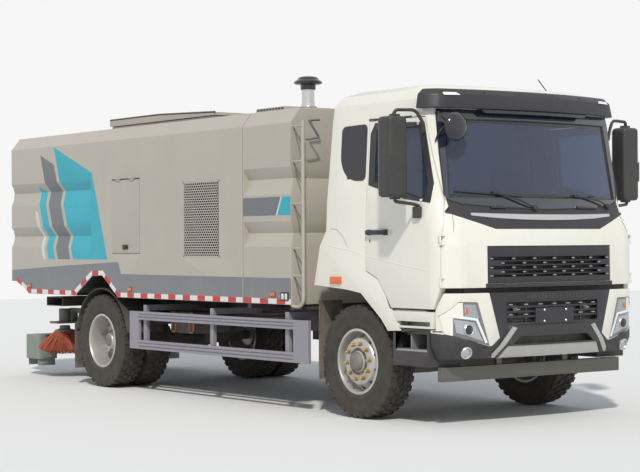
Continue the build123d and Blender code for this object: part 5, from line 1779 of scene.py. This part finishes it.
# Door mirrors: rounded housing with a slanted crease, glass, two arms and a foot. The crease is a
# thin gloss-black triangle on the housing, painted shade for the crease's shaded facet.
mirrorSettings = {
    "boxes": (  # low, high, radius, segments
        ((3.462, -1.52, 1.962), (3.64, -1.318, 2.65), 0.045, 5),
        ((3.545, -1.205, 1.785), (3.635, -1.135, 1.885), 0.014, 3),
        ((3.53, -1.44, 1.945), (3.60, -1.37, 1.975), 0.008, 2),
        ((3.53, -1.44, 2.64), (3.60, -1.37, 2.67), 0.008, 2),
    ),
    "arms": (((3.56, -1.42, 2.655), (3.575, -1.40, 2.705), (3.60, -1.20, 2.71),
              (3.62, -1.135, 2.60), (3.615, -1.125, 2.52)),
             ((3.57, -1.42, 1.965), (3.575, -1.41, 1.925), (3.60, -1.22, 1.905),
              (3.60, -1.15, 1.88))),
    "crease": ((3.642, -1.515, 2.33), (3.642, -1.40, 2.20), (3.642, -1.515, 2.14)),
    "creaseDepth": 0.006, "glass": ((3.458, -1.50, 2.02), (3.464, -1.338, 2.62), 0.002),
    "armTube": (0.015, 12, 0.05),
}


# The pieces are made for the right, and turned over for the left
def addMirrors(values):
    a, b, c = (Vector(p) for p in values["crease"])
    back = Vector((-values["creaseDepth"], 0, 0))
    for side, view, turn in sides:
        parts = [roundedBox("box", *box) for box in values["boxes"]]
        parts += [tubeAlong("arm", path, *values["armTube"]) for path in values["arms"]]
        # Painted shade: a darker triangle stands for the crease facet that faces away from the
        # light.
        crease = meshObject("MirrorCrease" + side, [a, b, c, a + back, b + back, c + back],
                            [(0, 2, 1), (3, 4, 5), (0, 1, 4, 3), (1, 2, 5, 4), (2, 0, 3, 5)])
        for piece, finish, replaced in (
                (joinMeshes("Mirror" + side, parts, 40), "mirrorBlack", ["mirror_" + view]),
                (roundedBox("MirrorGlass" + side, *values["glass"]), "mirrorSilver", []),
                (crease, "glossBlack", [])):
            if turn > 0:
                flipMesh(piece.data)
            addPiece(piece, "door_" + view, finish, *replaced)


addMirrors(mirrorSettings)

# Front mudflaps: thin, wavy and torn along the lower edge
flapSettings = {
    "x": 2.072, "y": (-1.108, -0.84), "z": (0.245, 1.045), "thick": 0.012, "seed": 5,
    "columns": 22, "rows": 26, "tear": 0.085, "wave": 0.006, "waves": 42,
}


def addFlaps(values):
    rng = random.Random(values["seed"])
    columns, rows = values["columns"], values["rows"]
    (y0, y1), (z0, z1) = values["y"], values["z"]
    for side, view, turn in sides:
        tears = [rng.uniform(0.0, values["tear"]) for i in range(columns + 1)]
        bm = bmesh.new()
        verts = []
        for k in range(rows + 1):
            t = k / rows
            for i in range(columns + 1):
                y = y0 + (y1 - y0) * i / columns
                z = z0 + (z1 - z0) * t + tears[i] * max(0.0, 1 - t * 4)
                wave = values["wave"] * math.sin(y * values["waves"] + t * 3) * (1 - t)
                verts.append(bm.verts.new((values["x"] + wave, -turn * y, z)))
        addFaces(bm, verts, [(a, a + 1, a + columns + 2, a + columns + 1)
                             for k in range(rows)
                             for a in range(k * (columns + 1), k * (columns + 1) + columns)])
        thicken(bm, Vector((values["thick"], 0, 0)))
        addPiece(bmeshObject("FrontFlap" + side, bm), "chassis", "flapDusty",
                 *(["front_flaps"] if turn < 0 else []))


addFlaps(flapSettings)

# Roof: black lid seal, and a small slotted outlet box
roofSettings = {
    "rim": ((-2.434, -0.735, 3.004), (-1.37, -0.735, 3.004), (-0.24, -0.735, 2.962)),
    "rimRadius": 0.011, "outlet": ((0.48, -0.705, 2.868), (1.0, 0.30, 2.942)),
    "slot": ((0, -0.004, 0), (0.036, 0.004, 0.016)), "slots": (9, 2),
    "slotStep": (0.052, 0.026), "slotPlace": (0.506, -0.706, 2.892),
}


def addRoofParts(values):
    right, left = ([(x, y * turn, z) for x, y, z in values["rim"]] for turn in (1, -1))
    rims = [tubeAlong("rim", path, values["rimRadius"], 8, 0.01)
            for path in (right, left, (right[0], left[0]))]
    addJoined("LidSeal", rims, "roof_hatch", "glossBlack", sharpAngle=50)
    addPiece(roundedBox("RoofOutlet", *values["outlet"], 0.006), "hopper", "bodyBeige")
    slot = roundedBox("slot", *values["slot"], 0.003)
    (columns, rows), (across, up) = values["slots"], values["slotStep"]
    slots = growMesh("RoofOutletSlots", gridTree, "glossBlack", part=slot, columns=columns,
                     rows=rows, columnStep=(across, 0, 0), rowStep=(0, 0, up))
    slots.data.transform(Matrix.Translation(values["slotPlace"]))
    dropObjects(slot)
    addPiece(slots, "hopper", "glossBlack")


addRoofParts(roofSettings)

# Under the body: pump frames, and hoses along the frame rails
undersideSettings = {
    "frames": ((-0.70, -0.60), (-0.35, -0.25)), "y": (-1.006, -0.985), "z": (0.64, 0.86),
    "bar": 0.02, "hoseRadius": 0.016,
    "hoses": (
        ((-1.0, -0.62, 0.93), (-0.4, -0.66, 0.90), (0.5, -0.60, 0.86), (1.6, -0.62, 0.92)),
        ((-1.1, -0.55, 0.86), (-0.2, -0.58, 0.80), (0.9, -0.56, 0.84), (1.9, -0.60, 0.88)),
    ),
}


def addUnderside(values):
    (y0, y1), (z0, z1), bar = values["y"], values["z"], values["bar"]
    bars = [roundedBox("bar", (low[0], y0, low[1]), (high[0], y1, high[1]), 0.003)
            for x0, x1 in values["frames"]
            for low, high in (((x0, z0), (x1, z0 + bar)), ((x0, z1 - bar), (x1, z1)),
                              ((x0, z0), (x0 + bar, z1)), ((x1 - bar, z0), (x1, z1)))]
    addJoined("PumpFrames", bars, "chassis", "pumpOrange")
    hoses = [tubeAlong("hose", path, values["hoseRadius"], 10, 0.2) for path in values["hoses"]]
    addJoined("FrameHoses", hoses, "chassis", "rubber", sharpAngle=50)


addUnderside(undersideSettings)
print("mirrors, flaps, roof and underside placed")
